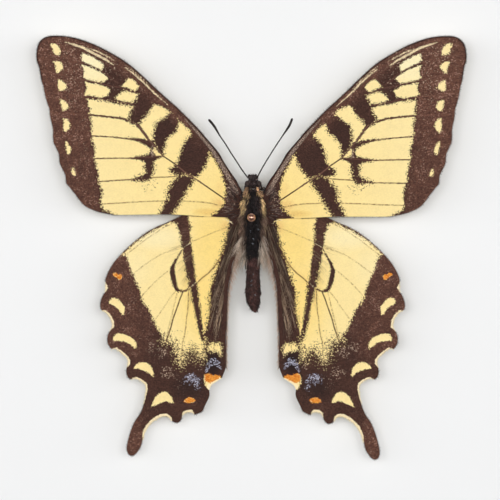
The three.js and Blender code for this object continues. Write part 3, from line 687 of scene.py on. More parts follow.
def hindwing_fields(places):
    """The same for the hindwing."""
    x, y = places.T
    patch = {name: blobs(places, spots) for name, spots in HINDWING_PATCHES.items()}
    dark, fray = painted(places, HINDWING_MARKS)
    edge = HIND_RUSSET_AND_SHEEN
    outer = edge["most"] * ramp(x, edge["from"], edge["over"])
    outer = outer * np.maximum(edge["least"], ramp(y, edge["rear"], edge["fade"]))
    arc = np.clip(stroke_depth(places, BLUE_ARC) / 0.6, 0, 0.5)
    oranges = [depth_inside(places, shape) for shape in (SMALL_ORANGE, FRONT_ORANGE, ANAL_ORANGE)]
    return {
        "dark": dark, "fray": fray, "frost": patch["frost"], "soot": patch["soot"],
        "rust": 0.16 * nearness(places, TAN_VEIN, 0.4) + patch["rust"],
        "strip": np.full(len(places), NO_PART),
        "warm": HINDWING_WARMTH + patch["warm"] - patch["pale"],
        # Reddish brown along the outer margin, partly a painted sheen
        "russet_and_sheen": np.maximum(outer, patch["russet_and_sheen"]),
        "blue": np.maximum(patch["blue"], arc),
        "orange": np.max(oranges, axis=0) + ORANGE_SPREAD,
        "gold": deepest(places, HINDWING_RIM + ROOT_EDGE + PALE_VEINS),
    }


def vein_fields(places, veins):
    """The distance to the nearest vein, and how strongly that vein is inked, from 0 to 1."""
    found = np.array([line_distance(places, line)[0] for _, line in veins])
    ink = np.array([strength for strength, _ in veins])
    return found.min(axis=0), ink[found.argmin(axis=0)]


# Heights of the wings' middle surfaces, and how the left wings differ from the right ones
FOREWING_CAMBER = {"length": 40, "arch": 1.2, "settle": 0.5}
REAR_DIP = {"depth": 0.36, "width": 2.2, "from": 6, "over": 12}
HINDWING_CAMBER = {"length": 45, "width": 28, "dip": 0.5, "droop": 0.4}
LEFT_LIFT = {"rear": 0.42, "front": 0.25, "from": 5, "over": 12, "centre": 16, "reach": 16}
LEFT_SHIFT = {"height": 0.28, "x": 23, "x_reach": 5.5, "y": 7.5, "y_reach": 3.5}
LEFT_SPREAD = {"from": 17, "slope": 0.03}
LEFT_TAIL = {"from": 36, "over": 8.5, "inward": 0.3, "shorter": 0.7}


def forewing_level(x, y):
    along = x / FOREWING_CAMBER["length"]
    arch = FOREWING_CAMBER["arch"] * along * (1 - along)
    settle = FOREWING_CAMBER["settle"] * along * along
    dip = REAR_DIP["depth"] * hump(y, 0, REAR_DIP["width"])
    return FOREWING_LEVEL + arch - settle - dip * (1 - ramp(x, REAR_DIP["from"], REAR_DIP["over"]))


def hindwing_level(x, y):
    dip = HINDWING_CAMBER["dip"] * (np.maximum(0, -y) / HINDWING_CAMBER["length"]) ** 2
    return HINDWING_LEVEL - dip - HINDWING_CAMBER["droop"] * (x / HINDWING_CAMBER["width"]) ** 2


def spread_left(x, y):
    """The left forewing is set a little further out and forward than the right one."""
    forward = ramp(y, LEFT_LIFT["from"], LEFT_LIFT["over"])
    lift = LEFT_LIFT["rear"] + (LEFT_LIFT["front"] - LEFT_LIFT["rear"]) * forward
    lift = lift * hump(x, LEFT_LIFT["centre"], LEFT_LIFT["reach"])
    shift = LEFT_SHIFT["height"] * hump(x, LEFT_SHIFT["x"], LEFT_SHIFT["x_reach"])
    shift = shift * hump(y, LEFT_SHIFT["y"], LEFT_SHIFT["y_reach"])
    out = LEFT_SPREAD["slope"] * np.maximum(0, y - LEFT_SPREAD["from"])
    return x + out, y + lift + shift


def bend_left(x, y):
    """The left hindwing's tail is a little shorter."""
    share = ramp(-y, LEFT_TAIL["from"], LEFT_TAIL["over"])
    return x - LEFT_TAIL["inward"] * share, y + LEFT_TAIL["shorter"] * share


WINGS = {
    "forewing": {
        "outline": FOREWING_OUTLINE, "veins": FOREWING_VEINS, "fields": forewing_fields,
        "level": forewing_level, "left": spread_left, "row_turn": -38, "gilt": 0.45,
    },
    "hindwing": {
        "outline": HINDWING_OUTLINE, "veins": HINDWING_VEINS, "fields": hindwing_fields,
        "level": hindwing_level, "left": bend_left, "row_turn": 55, "gilt": 0.8,
    },
}


def to_metres(points):
    placed = np.array(points, float)
    placed[:, 0] += MIDLINE_X
    return placed * MM


def mesh_points(piece):
    """A piece's points, in millimetres from the body's midline."""
    found = np.zeros(len(piece.data.vertices) * 3)
    piece.data.vertices.foreach_get("co", found)
    points = found.reshape(-1, 3) / MM
    points[:, 0] -= MIDLINE_X
    return points


def new_piece(name, points, faces, material):
    """A mesh object from points in millimetres."""
    mesh = bpy.data.meshes.new(name)
    mesh.from_pydata(to_metres(points).tolist(), [], faces)
    mesh.validate()
    mesh.materials.append(material)
    piece = bpy.data.objects.new(name, mesh)
    bpy.context.scene.collection.objects.link(piece)
    return piece


def write_attribute(mesh, name, numbers, kind="FLOAT"):
    """Writes a number, a vector or a colour at each of a mesh's points."""
    layer = mesh.attributes.new(name, kind, "POINT")
    field = {"FLOAT": "value", "FLOAT_VECTOR": "vector", "FLOAT_COLOR": "color"}[kind]
    layer.data.foreach_set(field, np.asarray(numbers, np.float32).ravel())


def wing_points(kind, side, places, lift):
    """Points over a wing's middle surface, or under it where the lift is negative."""
    x, y = places.T
    level = WINGS[kind]["level"](x, y) + lift
    px, py = WINGS[kind]["left"](x, y) if side == "left" else (x, y)
    return np.column_stack([SIDES[side] * px, py, level])


def wing_plan(wing):
    """The wing's flat triangles, from its rim, a grid inside it and rows along its veins."""
    rim = smooth_curve(wing["outline"], RIM_STEP, closed=True)
    low, high = rim.min(axis=0), rim.max(axis=0)
    rows = np.arange(low[1], high[1], WING_GRID * math.sqrt(3) / 2)
    grid = []
    for i, y in enumerate(rows):
        xs = np.arange(low[0] + (i % 2) * WING_GRID / 2, high[0], WING_GRID)
        grid.append(np.column_stack([xs, np.full(len(xs), y)]))
    grid = np.vstack(grid)
    gap, _ = vein_fields(grid, wing["veins"])
    grid = grid[gap > WING_GRID * VEIN_CLEARANCE]
    strands = []
    for _, line in wing["veins"]:
        line = np.array(line, float)
        for a, b in zip(line[:-1], line[1:]):
            run = b - a
            length = np.linalg.norm(run)
            side = np.array([-run[1], run[0]]) / length * STRAND_GAP
            for t in np.arange(0, 1, WING_GRID / length):
                strands += [a + run * t, a + run * t + side, a + run * t - side]
    inner = np.vstack([grid, strands])
    inner = inner[depth_inside(inner, rim) > RIM_CLEARANCE]
    flat = np.vstack([rim, inner])
    face = list(range(len(rim)))
    points, _, faces, *_ = delaunay_2d_cdt(flat.tolist(), [], [face], 1, MERGE_DISTANCE)
    return np.array([tuple(p) for p in points]), [list(f) for f in faces]


def build_wing(kind, side, plan, material):
    """One wing: a plate as thick as its scales, raised along the veins on both faces."""
    wing = WINGS[kind]
    places, triangles = plan
    count = len(places)
    gap, ink = vein_fields(places, wing["veins"])
    rise = RIDGE["height"] * hump(gap, 0, RIDGE["width"]) + SKIN / 2
    sag = SAG["depth"] * (1 - hump(gap, 0, SAG["reach"]))
    top = wing_points(kind, side, places, rise - sag)
    under = wing_points(kind, side, places, -rise - sag)
    used = {(f[i], f[i - 2]) for f in triangles for i in range(3)}
    open_edges = [(a, b) for a, b in used if (b, a) not in used]
    faces = triangles + [[v + count for v in reversed(f)] for f in triangles]
    faces += [[a, a + count, b + count, b] for a, b in sorted(open_edges)]
    if side == "left":
        faces = [f[::-1] for f in faces]
    points = np.vstack([top, under])
    piece = new_piece(kind + "_scales_" + side, points, faces, material)
    mesh = piece.data
    fields = wing["fields"](places)
    fields["vein"] = gap
    fields["ink"] = ink
    for name, numbers in fields.items():
        write_attribute(mesh, name, np.tile(numbers, 2))
    write_attribute(mesh, "under", np.repeat([0.0, 1.0], count))
    flat = np.column_stack([places, np.zeros(count)]) + [LEFT_PATTERN * (side == "left"), 0, 0]
    pattern = np.vstack([flat, flat + [0, 0, UNDER_PATTERN]])
    write_attribute(mesh, "plan", pattern, "FLOAT_VECTOR")
    mesh.shade_smooth()
    mesh.set_sharp_from_angle(angle=math.radians(SHARP_DEGREES))
    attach(piece, "root")
    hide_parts(kind + "_" + side)
    return piece


# The scales' colours. A pair is the two ends of its kind's range.
YELLOW_SCALES = (paint(248, 235, 191), paint(246, 214, 127))
RUST_SCALES = paint(206, 146, 84)
VEIN_SCALES = (paint(160, 118, 66), paint(58, 34, 20))
BLACK_SCALES = (paint(49, 29, 24), paint(78, 51, 42))
# The russet scales are the margins' reddish brown, painted lighter as a painted sheen
RUSSET_AND_SHEEN_SCALES = (paint(64, 42, 34), paint(116, 77, 63))
FLECK_SCALES = paint(190, 148, 130)
SOOT_SCALES = paint(28, 20, 20)
BROWN_VEIN_SCALES = paint(126, 88, 74)
FROST_SCALES = (paint(134, 106, 90), paint(206, 180, 156))
STRIP_SCALES = (paint(60, 42, 38), paint(196, 170, 150))
BLUE_SCALES = (paint(62, 60, 78), paint(214, 214, 232))
GOLD_SCALES = paint(250, 230, 186)
ORANGE_SCALES = (paint(196, 96, 16), paint(238, 166, 70))
UNDER_SCALES = paint(240, 230, 204)
UNDER_SHARE = 0.75
SCALE_GRID = (6.0, 8.0, 1.0)  # scales in a millimetre, along the rows and across them
STREAK_GRID = (5.0, 8.0, 1.0)
STREAK_TURN = -0.6
VEIN_EDGE = 0.12
GRAIN = 0.06  # the ramp over which one grain turns from one colour to the other
SCALE_RELIEF = 0.00003  # metres


def wing_material(name, row_turn, gilt):
    """Overlapping scales: yellow, dark brown, orange and blue ones, mixed where marks meet. The
    reddish-brown margins are partly their own colour and partly a painted sheen.
    """
    s = Shader(name, Specular_IOR_Level=0.12)
    plan = s.attribute("plan", "Vector")
    rows = s.stretched(plan, SCALE_GRID, (0.0, 0.0, math.radians(row_turn)))
    scale_cells = {"voronoi_dimensions": "3D", "feature": "F1"}
    cell_inputs = {"Vector": rows, "Scale": 1.0}
    cell = s.node("ShaderNodeTexVoronoi", scale_cells, cell_inputs, "Color")
    shape = s.node("ShaderNodeTexVoronoi", scale_cells, cell_inputs, "Distance")
    first, second, third = s.parts(cell)
    clump = s.noise(plan, 2.0, 3.0)
    mottle = s.noise(plan, 0.5, 3.0)

    fray = s.attribute("fray")
    lean = first * 2.0 - 1.0
    scatter = lean * (lean * lean * 2.0 + 0.9) + (clump - 0.5) * 0.7
    dark = (s.attribute("dark") + scatter * fray).above(0.0, fray * fray * 1.6 + 0.02)
    ink = s.attribute("ink")
    on_vein = 1 - s.attribute("vein").above(VEIN_EDGE, 0.08)
    inked = on_vein * (ink * 1.5 + first - 0.75).clamped()

    yellow = s.mix(s.attribute("warm"), *YELLOW_SCALES)
    yellow = s.multiply(yellow, second * 0.1 + mottle * 0.12 + 0.88)
    rusty = s.attribute("rust") * (first * 1.2 + 0.4)
    yellow = s.mix(rusty.clamped(), yellow, RUST_SCALES)
    yellow = s.mix(inked, yellow, s.mix(ink, *VEIN_SCALES))

    black = s.mix(second, *BLACK_SCALES)
    # The reddish-brown margin colour carries a painted sheen
    russet_and_sheen = s.mix(second, *RUSSET_AND_SHEEN_SCALES)
    brown = s.mix(s.attribute("russet_and_sheen") * (clump * 1.8 + mottle * 1.2 - 0.5), black, russet_and_sheen)
    fleck = (third + mottle * 0.7 - 1.31).above(0.0, GRAIN)
    brown = s.mix(fleck * (s.attribute("russet_and_sheen") * 0.55 + 0.02), brown, FLECK_SCALES)
    brown = s.mix(s.attribute("soot"), brown, SOOT_SCALES)
    veined = (ink * 1.5 - 0.9).clamped()
    brown = s.mix(inked * veined, brown, BROWN_VEIN_SCALES)
    frosted = (s.attribute("frost") - first).above(0.04, GRAIN)
    brown = s.mix(frosted * 0.9, brown, s.mix(third, *FROST_SCALES))
    streaks = s.noise(s.stretched(plan, STREAK_GRID, (0.0, 0.0, STREAK_TURN)), 1.0, 2.0)
    pale = (streaks - 0.54) * 8.0 + 0.5
    striped = s.attribute("strip").above(0.0, 0.15)
    brown = s.mix(striped, brown, s.mix(pale.clamped(), *STRIP_SCALES))
    dusted = (s.attribute("blue") - second).above(0.04, GRAIN)
    brown = s.mix(dusted * 0.92, brown, s.mix(third, *BLUE_SCALES))

    colour = s.mix(dark, yellow, brown)
    gold = (s.attribute("gold") + scatter * 0.04).above(0.0, GRAIN)
    colour = s.mix(gold * (second * (1.0 - gilt) + gilt), colour, GOLD_SCALES)
    glow = (s.attribute("orange") + scatter * 0.07).above(0.0, GRAIN)
    colour = s.mix(glow, colour, s.mix(second, *ORANGE_SCALES))
    faded = s.mix(UNDER_SHARE, colour, UNDER_SCALES)
    colour = s.mix(s.attribute("under"), colour, faded)
    relief = shape * 0.5 + third * 0.4
    return s.feed(
        Base_Color=colour,
        Roughness=second * 0.15 + 0.62,
        Normal=s.bump(relief, SCALE_RELIEF, 0.5),
    )


for kind, wing in WINGS.items():
    scales = wing_material(kind + "_scales", wing["row_turn"], wing["gilt"])
    plan = wing_plan(wing)
    for side in SIDES:
        build_wing(kind, side, plan, scales)


# Surfaces with rings, and hair
SPINDLE_STEP = 0.12
BLADE_SIDES = 3
# The brightness along a blade is painted shade and light: each hair is painted darker at its root
# and lighter toward its tip
BLADE = ((0, 1, 0.5), (0.35, 0.9, 0.9), (0.7, 0.55, 1.15))  # share along it, width, brightness
TIP_PAINTED_LIGHT = 1.3
CROSSING = (0.31, 0.17, 0.94)  # a direction that no hair runs in


def skin(name, rings, ends, material):
    """Joins rings of points into a closed surface that runs to a point at each end."""
    rings = np.array(rings)
    count, sides, _ = rings.shape
    points = np.vstack([rings.reshape(-1, 3), ends])
    faces = []
    for j in range(sides):
        k = (j + 1) % sides
        for i in range(0, (count - 1) * sides, sides):
            faces.append([i + j, i + k, i + k + sides, i + j + sides])
        last = (count - 1) * sides
        faces += [[k, j, count * sides], [last + j, last + k, count * sides + 1]]
    a, b, c = (points[[face[i] for face in faces]] for i in (0, 1, 2))
    if np.einsum("ij,ij->", a, np.cross(b, c)) < 0:
        faces = [face[::-1] for face in faces]
    piece = new_piece(name, points, faces, material)
    piece.data.shade_smooth()
    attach(piece, "root")
    return piece


def tube(name, points, radius, sides, step, material):
    """A round rod along a curve. The radius is a function of the share of the way along."""
    centres = smooth_curve(points, step)
    runs = np.gradient(centres, axis=0)
    runs /= np.linalg.norm(runs, axis=1)[:, None]
    turns = around(sides)
    normal = np.array([0.3, 0.2, 1.0])
    rings = []
    for i in range(1, len(centres) - 1):
        normal = normal - runs[i] * (normal @ runs[i])
        normal /= np.linalg.norm(normal)
        across = np.cross(runs[i], normal)
        circle = np.outer(np.cos(turns), normal) + np.outer(np.sin(turns), across)
        rings.append(centres[i] + radius(i / (len(centres) - 1)) * circle)
    return skin(name, rings, centres[[0, -1]], material)


def straight(y):
    """The bend of a part that has none."""
    return 0 * y


class Spindle:
    """A rounded body part along Y, from (y, half width) points."""

    def __init__(self, profile, level, height_share, bend=straight, notch=straight):
        self.curve = smooth_curve(profile, SPINDLE_STEP)
        self.level = level
        self.height_share = height_share
        self.bend = bend
        self.notch = notch

    def points(self, y, turn):
        wide = np.interp(y, self.curve[:, 0], self.curve[:, 1]) + self.notch(y)
        x = self.bend(y) + wide * np.cos(turn)
        return np.stack([x, y, self.level + wide * self.height_share * np.sin(turn)], axis=-1)

    def build(self, name, sides, material):
        rings = [self.points(np.full(sides, y), around(sides)) for y in self.curve[1:-1, 0]]
        ends = self.points(self.curve[[0, -1], 0], np.zeros(2))
        return skin(name, rings, ends, material)


def blend(first, second, share):
    """Colours that run from the first to the second."""
    share = np.clip(np.asarray(share, float), 0, 1)[..., None]
    return np.asarray(first)[..., :3] * (1 - share) + np.asarray(second)[..., :3] * share


def tinted(piece, tints):
    colours = np.column_stack([tints, np.ones(len(tints))])
    write_attribute(piece.data, "tint", colours, "FLOAT_COLOR")


def hair_piece(name, groups, material):
    """Hairs as one mesh. Each is a bent, tapering blade with three sides, painted darker at the
    root and lighter at the tip as painted shade and highlight.
    """
    roots, runs, droops, tints, thick = (np.concatenate(column) for column in zip(*groups))
    ahead = runs / np.linalg.norm(runs, axis=1)[:, None]
    across = np.cross(ahead, CROSSING)
    across /= np.linalg.norm(across, axis=1)[:, None]
    other = np.cross(ahead, across)
    rings = []
    painted_shades = []
    # Each ring's tint is scaled by painted shade, dark at the root and light toward the tip
    for t, taper, brightness in BLADE:
        centre = roots + runs * t + droops * t * t
        for turn in around(BLADE_SIDES):
            reach = (thick * taper)[:, None]
            rings.append(centre + reach * (across * np.cos(turn) + other * np.sin(turn)))
            painted_shades.append(tints * brightness)
    rings.append(roots + runs + droops)
    painted_shades.append(tints * TIP_PAINTED_LIGHT)
    points = np.stack(rings, axis=1).reshape(-1, 3)
    tip = len(BLADE) * BLADE_SIDES
    one = [list(reversed(range(BLADE_SIDES)))]
    for j in range(BLADE_SIDES):
        k = (j + 1) % BLADE_SIDES
        for low in range(0, tip - BLADE_SIDES, BLADE_SIDES):
            high = low + BLADE_SIDES
            one.append([low + j, low + k, high + k, high + j])
        one.append([tip - BLADE_SIDES + j, tip - BLADE_SIDES + k, tip])
    faces = [[v + (tip + 1) * i for v in face] for i in range(len(roots)) for face in one]
    piece = new_piece(name, points, faces, material)
    tinted(piece, np.stack(painted_shades, axis=1).reshape(-1, 3))
    piece.data.shade_smooth()
    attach(piece, "root")
    return piece


def scattered(random, outline, count):
    """Random places inside an outline."""
    outline = np.array(outline, float)
    low, high = outline.min(axis=0), outline.max(axis=0)
    found = np.zeros((0, 2))
    while len(found) < count:
        tried = random.uniform(low, high, (count, 2))
        found = np.vstack([found, tried[depth_inside(tried, outline) > 0]])
    return found[:count]


# The body's colours
BLACK_FUR = paint(26, 20, 20)
BROWN_FUR = paint(66, 48, 44)
TAN_FUR = paint(222, 188, 136)
ORANGE_FUR = paint(198, 156, 112)
OLIVE_FUR = paint(140, 122, 90)
DUN_FUR = paint(106, 84, 72)
PALE_FUR = paint(206, 190, 174)
CREAM_FUR = paint(222, 204, 150)
FRONT_FUR = paint(66, 50, 48)
SHOULDER_FUR = paint(206, 164, 124)
ABDOMEN_FUR = (paint(50, 35, 33), paint(80, 54, 49))
COLLAR = {
    "right": [
        (0.5, 5.8), (0.9, 5.7), (1.5, 4.9), (1.95, 4.3), (2.4, 3.8), (2.65, 3.4), (2.7, 2.4),
        (2.6, 1.5), (2.5, 0.6), (2.2, 0.2), (1.9, 0.4), (1.7, 1), (1.65, 2), (1.7, 3),
        (1.5, 3.7), (1.05, 4.2), (0.7, 4.8),
    ],
    "left": [
        (-0.9, 5.9), (-1.2, 5.7), (-1.65, 4.8), (-1.8, 3.9), (-2.3, 3.3), (-2.4, 2.4),
        (-2.35, 1.2), (-2.2, 0.6), (-1.7, 0.4), (-1.4, 1), (-1.3, 2), (-1.3, 3),
        (-0.95, 3.8), (-0.85, 5),
    ],
}
COLLAR_BREAKS = [(1.9, 3.8, 0.7, 0.35, 0.95), (-1.6, 3.6, 0.8, 0.3, 0.95)]


# Tints. Each gives a colour for every hair from its place and its luck.
def thorax_tint(points, luck):
    """Black in the middle, with a tan band to each side."""
    x, y, z = points.T
    flat = points[:, :2]
    band = np.maximum(depth_inside(flat, COLLAR["right"]), depth_inside(flat, COLLAR["left"]))
    tan = blend(TAN_FUR, ORANGE_FUR, (y - 3.7) * 0.6 + luck * 0.5)
    tan = blend(tan, OLIVE_FUR, (1.6 - y) * 0.6 + luck * 0.5)
    tan = blend(tan, BLACK_FUR, blobs(flat, COLLAR_BREAKS))
    side = np.abs(x - 0.1)
    base = blend(BLACK_FUR, DUN_FUR, (side - 1.2) * 1.5 + luck * 0.5)
    front = blend(BLACK_FUR, FRONT_FUR, side - 0.55 + luck * 0.8)
    base = np.where((y > 0.6)[:, None], front, base)
    coloured = blend(base, tan, band * 3.4 + 0.3 + luck * 1.2)
    return blend(coloured, CREAM_FUR, (4.9 - z) * 1.2 + luck * 0.5)


def shoulder_tint(points, luck):
    """Tan in front of the bands, with black knobs outside it."""
    x, y, _ = points.T
    brown = (y - 5) * 0.8 - 0.22 + (x < 0) * 0.55 + luck * 1.6
    tan = blend(SHOULDER_FUR, BROWN_FUR, brown)
    return blend(tan, BLACK_FUR, (x - 1.75) * 3 + luck * 0.5)


def abdomen_tint(points, luck):
    """Dark brown, browner along the middle and cream below."""
    x, y, z = points.T
    tint = blend(*ABDOMEN_FUR, hump(x, 0.2, 0.8) + luck)
    return blend(tint, CREAM_FUR, (5.3 - z) * 0.9 + luck * 0.3)


def evenly(first, second):
    """A tint that runs from one colour to another by the hair's luck."""
    return lambda points, luck: blend(first, second, 0.3 + luck)


black_tint = evenly(BLACK_FUR, paint(72, 56, 52))
head_tint = evenly(paint(30, 24, 25), paint(104, 88, 86))
dun_tint = evenly(paint(96, 74, 62), paint(190, 164, 132))
pale_tint = evenly(PALE_FUR, paint(176, 152, 130))
glint_tint = evenly(paint(120, 124, 132), paint(160, 164, 170))

# The body's parts
RING_NOTCH = {"depth": 0.06, "from": 8.6, "spacing": 1.35, "middle": 0.67, "width": 0.14}
RING_SPAN = (-16.6, -7.6)
TAIL_BEND = {"offset": 0.1, "bend": 0.5, "from": 14, "over": 4, "power": 1.5}


def abdomen_bend(y):
    """The abdomen lies a little to the right, and its end more so."""
    share = ramp(-y, TAIL_BEND["from"], TAIL_BEND["over"]) ** TAIL_BEND["power"]
    return TAIL_BEND["offset"] + TAIL_BEND["bend"] * share


def abdomen_notch(y):
    """The grooves between the abdomen's rings."""
    place = (y + RING_NOTCH["from"]) % RING_NOTCH["spacing"]
    groove = hump(place, RING_NOTCH["middle"], RING_NOTCH["width"])
    return -RING_NOTCH["depth"] * groove * (y > RING_SPAN[0]) * (y < RING_SPAN[1])


THORAX = Spindle(
    [(-6.8, 0), (-6.75, 0.95), (-6.4, 1.28), (-5, 1.6), (-3.6, 1.88), (-2, 2.15), (0, 2.35),
     (2, 2.3), (3.8, 1.95), (4.8, 1.48), (5.25, 0.93), (5.42, 0)],
    BODY_LEVEL, 1.08,
)
ABDOMEN = Spindle(
    [(-17.6, 0), (-17.4, 0.26), (-16.8, 0.55), (-16, 0.9), (-15, 1.2), (-13.5, 1.34),
     (-12, 1.24), (-10.5, 1.1), (-8.5, 1.1), (-7.2, 1.2), (-6.95, 0.95), (-6.85, 0)],
    BODY_LEVEL, 1.1, abdomen_bend, abdomen_notch,
)
THORAX_SIDES = 64
THORAX_SKIN_SHADE = 0.8
ABDOMEN_SIDES = 56
HEAD = {"centre": (0.12, 6.5, 6.1), "radii": (0.95, 0.93, 1.0), "rings": 22, "sides": 36}
EYES = {"right": (1.14, 6.35, 6.0), "left": (-0.9, 6.35, 6.0)}
EYE = {"radii": (0.56, 0.68, 0.78), "rings": 22, "sides": 32}
ROD_SIDES = 12
ROD_STEP = {"antenna": 0.16, "palp": 0.08, "leg": 0.12, "tongue": 0.05}
ANTENNAE = {
    "right": [
        (0.62, 7.2, 6.85), (0.98, 7.8, 7.2), (1.7, 9.15, 7.5), (2.5, 10.5, 7.7),
        (3.4, 11.95, 7.8), (4.35, 13.45, 7.8), (5.65, 15.4, 7.8), (6.6, 16.8, 7.6),
        (7.03, 17.6, 7.5), (7.4, 18.6, 7.4),
    ],
    "left": [
        (-0.45, 7.2, 6.85), (-0.95, 7.65, 7.2), (-2, 9.05, 7.5), (-3, 10.6, 7.7),
        (-4, 12.1, 7.8), (-5, 13.75, 7.8), (-6, 15.2, 7.8), (-7, 16.9, 7.7), (-7.6, 17.7, 7.6),
        (-8.2, 18.4, 7.5),
    ],
}
ANTENNA = {"radius": 0.12, "rings": 260, "ring": 0.01, "club": 0.11, "end": 0.02}
PALP = [(0.55, 7.5, 5.0), (0.6, 7.85, 5.5), (0.6, 8.0, 6.1), (0.5, 8.0, 6.6)]
LEGS = {
    "front": [
        (0.8, 3.2, 2.95), (1.9, 4.2, 2.3), (2.7, 4.3, 2.1), (2.4, 2.6, 1.6), (1.5, -0.6, 0.6),
    ],
    "middle": [
        (0.9, 0.6, 2.95), (2.4, 1.2, 2.3), (3.6, 1, 2.1), (3.3, -1.2, 1.6), (2.5, -4.4, 0.8),
    ],
    "hind": [
        (0.85, -2.2, 2.9), (1.9, -2.8, 2.4), (2.3, -3.9, 2.1), (1.6, -6.2, 1.9),
        (1.25, -9.6, 1.9),
    ],
}
COIL = {"centre": (0, 7.1, 4.25), "radius": 0.68, "inward": 0.56, "turns": 2.2, "steps": 60}


def antenna_radius(share):
    club = ramp(share, 0.68, 0.2)
    ring = ANTENNA["ring"] * math.cos(share * ANTENNA["rings"])
    tip = ANTENNA["end"]
    end = 1 if share < 1 - tip else math.sqrt(max(0.05, (1 - share) / tip))
    return (ANTENNA["radius"] + ring + ANTENNA["club"] * club * club * (3 - 2 * club)) * end


def palp_radius(share):
    return 0.3 - 0.2 * share**3


def leg_radius(share):
    joints = 0.05 * hump(share, 0.3, 0.03) + 0.04 * hump(share, 0.62, 0.02)
    return 0.3 - 0.2 * math.sqrt(share) + joints


def tongue_radius(share):
    return 0.1 - 0.05 * share


def fur_material():
    s = Shader("hair", Roughness=0.55, Specular_IOR_Level=0.35)
    return s.feed(Base_Color=s.attribute("tint", "Color"))


def under_fur_material():
    s = Shader("under_fur", Roughness=0.85, Specular_IOR_Level=0.2)
    fine = s.noise(s.place(), 6000, 3.0)
    colour = s.multiply(s.attribute("tint", "Color"), fine * 0.9 + 0.35)
    return s.feed(Base_Color=colour, Normal=s.bump(fine, 0.00006, 0.7))


def horn_material():
    s = Shader("horn", Specular_IOR_Level=0.25)
    grain = s.noise(s.place(), 2500, 4.0)
    return s.feed(
        Base_Color=s.mix(grain, paint(22, 16, 15), paint(48, 37, 33)),
        Roughness=grain * 0.25 + 0.4,
        Normal=s.bump(grain, 0.00003, 0.5),
    )


def eye_material():
    s = Shader("eye", Specular_IOR_Level=0.35)
    cell_inputs = {"Vector": s.place(), "Scale": 15000.0}
    facets = s.node("ShaderNodeTexVoronoi", {"feature": "F1"}, cell_inputs, "Distance")
    patch = s.noise(s.place(), 900, 2.0)
    return s.feed(
        Base_Color=s.mix(patch, paint(28, 20, 18), paint(72, 54, 46)),
        Roughness=patch * 0.2 + 0.38,
        Normal=s.bump(facets, 0.00002, 0.6),
    )


def ellipsoid(name, centre, shape, material):
    """A closed ball, flattened to its three radii."""
    sides = shape["sides"]
    turns = around(sides)
    loops = []
    for tilt in np.linspace(0, np.pi, shape["rings"] + 2)[1:-1]:
        wide = np.sin(tilt)
        height = np.full(sides, np.cos(tilt))
        ball = np.stack([wide * np.cos(turns), wide * np.sin(turns), height], axis=-1)
        loops.append(ball * shape["radii"] + centre)
    ends = np.array([[0, 0, 1], [0, 0, -1]]) * shape["radii"] + centre
    return skin(name, loops, ends, material)


def tufted(random, points, spread):
    """A luck, a brightness and a lean for each hair, alike for hairs that stand together."""
    count = len(points)
    centres = points[random.choice(count, max(4, count // 12), replace=False)]
    tufts = len(centres)
    nearest = np.argmin(((points[:, None] - centres[None]) ** 2).sum(axis=2), axis=1)
    luck = random.normal(0, 0.35, tufts)[nearest] + random.normal(0, 0.3, count)
    bright = random.normal(0, spread, tufts)[nearest] + random.normal(0, spread * 0.7, count)
    lean = random.normal(0, 0.22, (tufts, 3))[nearest]
    return luck, np.exp(bright)[:, None], lean


def fur_on(random, body, count, span, arc, length, comb, tint, thickness):
    """Hair rooted on a spindle, combed back. Gives one group for hair_piece."""
    y = random.uniform(*span, count)
    turn = np.radians(random.uniform(*arc, count))
    roots = body.points(y, turn)
    luck, bright, lean = tufted(random, roots, 0.33)
    out = np.column_stack([np.cos(turn), np.zeros(count), np.sin(turn)])
    reach = random.uniform(*length, count)[:, None]
    loose = lean + random.normal(0, 0.16, (count, 3))
    runs = reach * (out * comb[0] + np.array([0, -1, 0]) * comb[1] + loose)
    droop = np.column_stack([0.1 * out[:, 0], np.full(count, -0.2), np.full(count, -0.15)])
    colours = tint(roots + runs * 0.6, luck) * bright
    return roots, runs, reach * droop, colours, random.uniform(*thickness, count)


def ball_fur(random, count, centre, radii, length, out_share, flow, tint, thickness):
    """Hair rooted all over the upper part of a ball. Gives one group for hair_piece."""
    turn = random.uniform(0, 2 * np.pi, count)
    height = random.uniform(-0.5, 1, count)
    wide = np.sqrt(1 - height**2)
    out = np.column_stack([wide * np.cos(turn), wide * np.sin(turn), height])
    roots = out * radii + centre
    luck, bright, lean = tufted(random, roots, 0.3)
    reach = random.uniform(*length, count)[:, None]
    loose = lean + random.normal(0, 0.12, (count, 3))
    runs = reach * (out * out_share + np.array(flow) + loose)
    colours = tint(roots + runs * 0.6, luck) * bright
    return roots, runs, reach * np.array([0, 0, -0.1]), colours, random.uniform(*thickness, count)


# Seeds, and ranges of hair thickness
BODY_SEED = 11
WING_SEED = 5
THICK = (0.045, 0.085)
FULL = (0.045, 0.08)
KNOB = (0.045, 0.07)
HEAD_HAIR = (0.04, 0.065)
FINE = (0.03, 0.06)

# Coats: count, span along Y, arc in degrees, length, comb outward and back, tint, thickness
THORAX_COATS = [
    (2600, (-6.6, 5.3), (-10, 190), (0.5, 1.1), (0.35, 0.8), thorax_tint, THICK),
    (1500, (-6.2, 4.8), (190, 350), (0.5, 1.1), (0.5, 0.8), thorax_tint, FINE),
    (420, (-6.78, -6), (0, 180), (0.6, 1.2), (0.25, 1), thorax_tint, FINE),
]
FLANKS = ((-8, 40), (140, 188))
FLANK_COATS = [
    (160, (-3.4, 0.8), (0.7, 1.5), (0.16, 0.95), dun_tint, (0.025, 0.045)),
    (380, (-6.4, -2.8), (1.6, 3.6), (0.28, 0.95), pale_tint, (0.014, 0.022)),
]
ABDOMEN_COAT = (3200, (-17.2, -6.9), (0, 360), (0.15, 0.4), (0.5, 1), abdomen_tint, FULL)

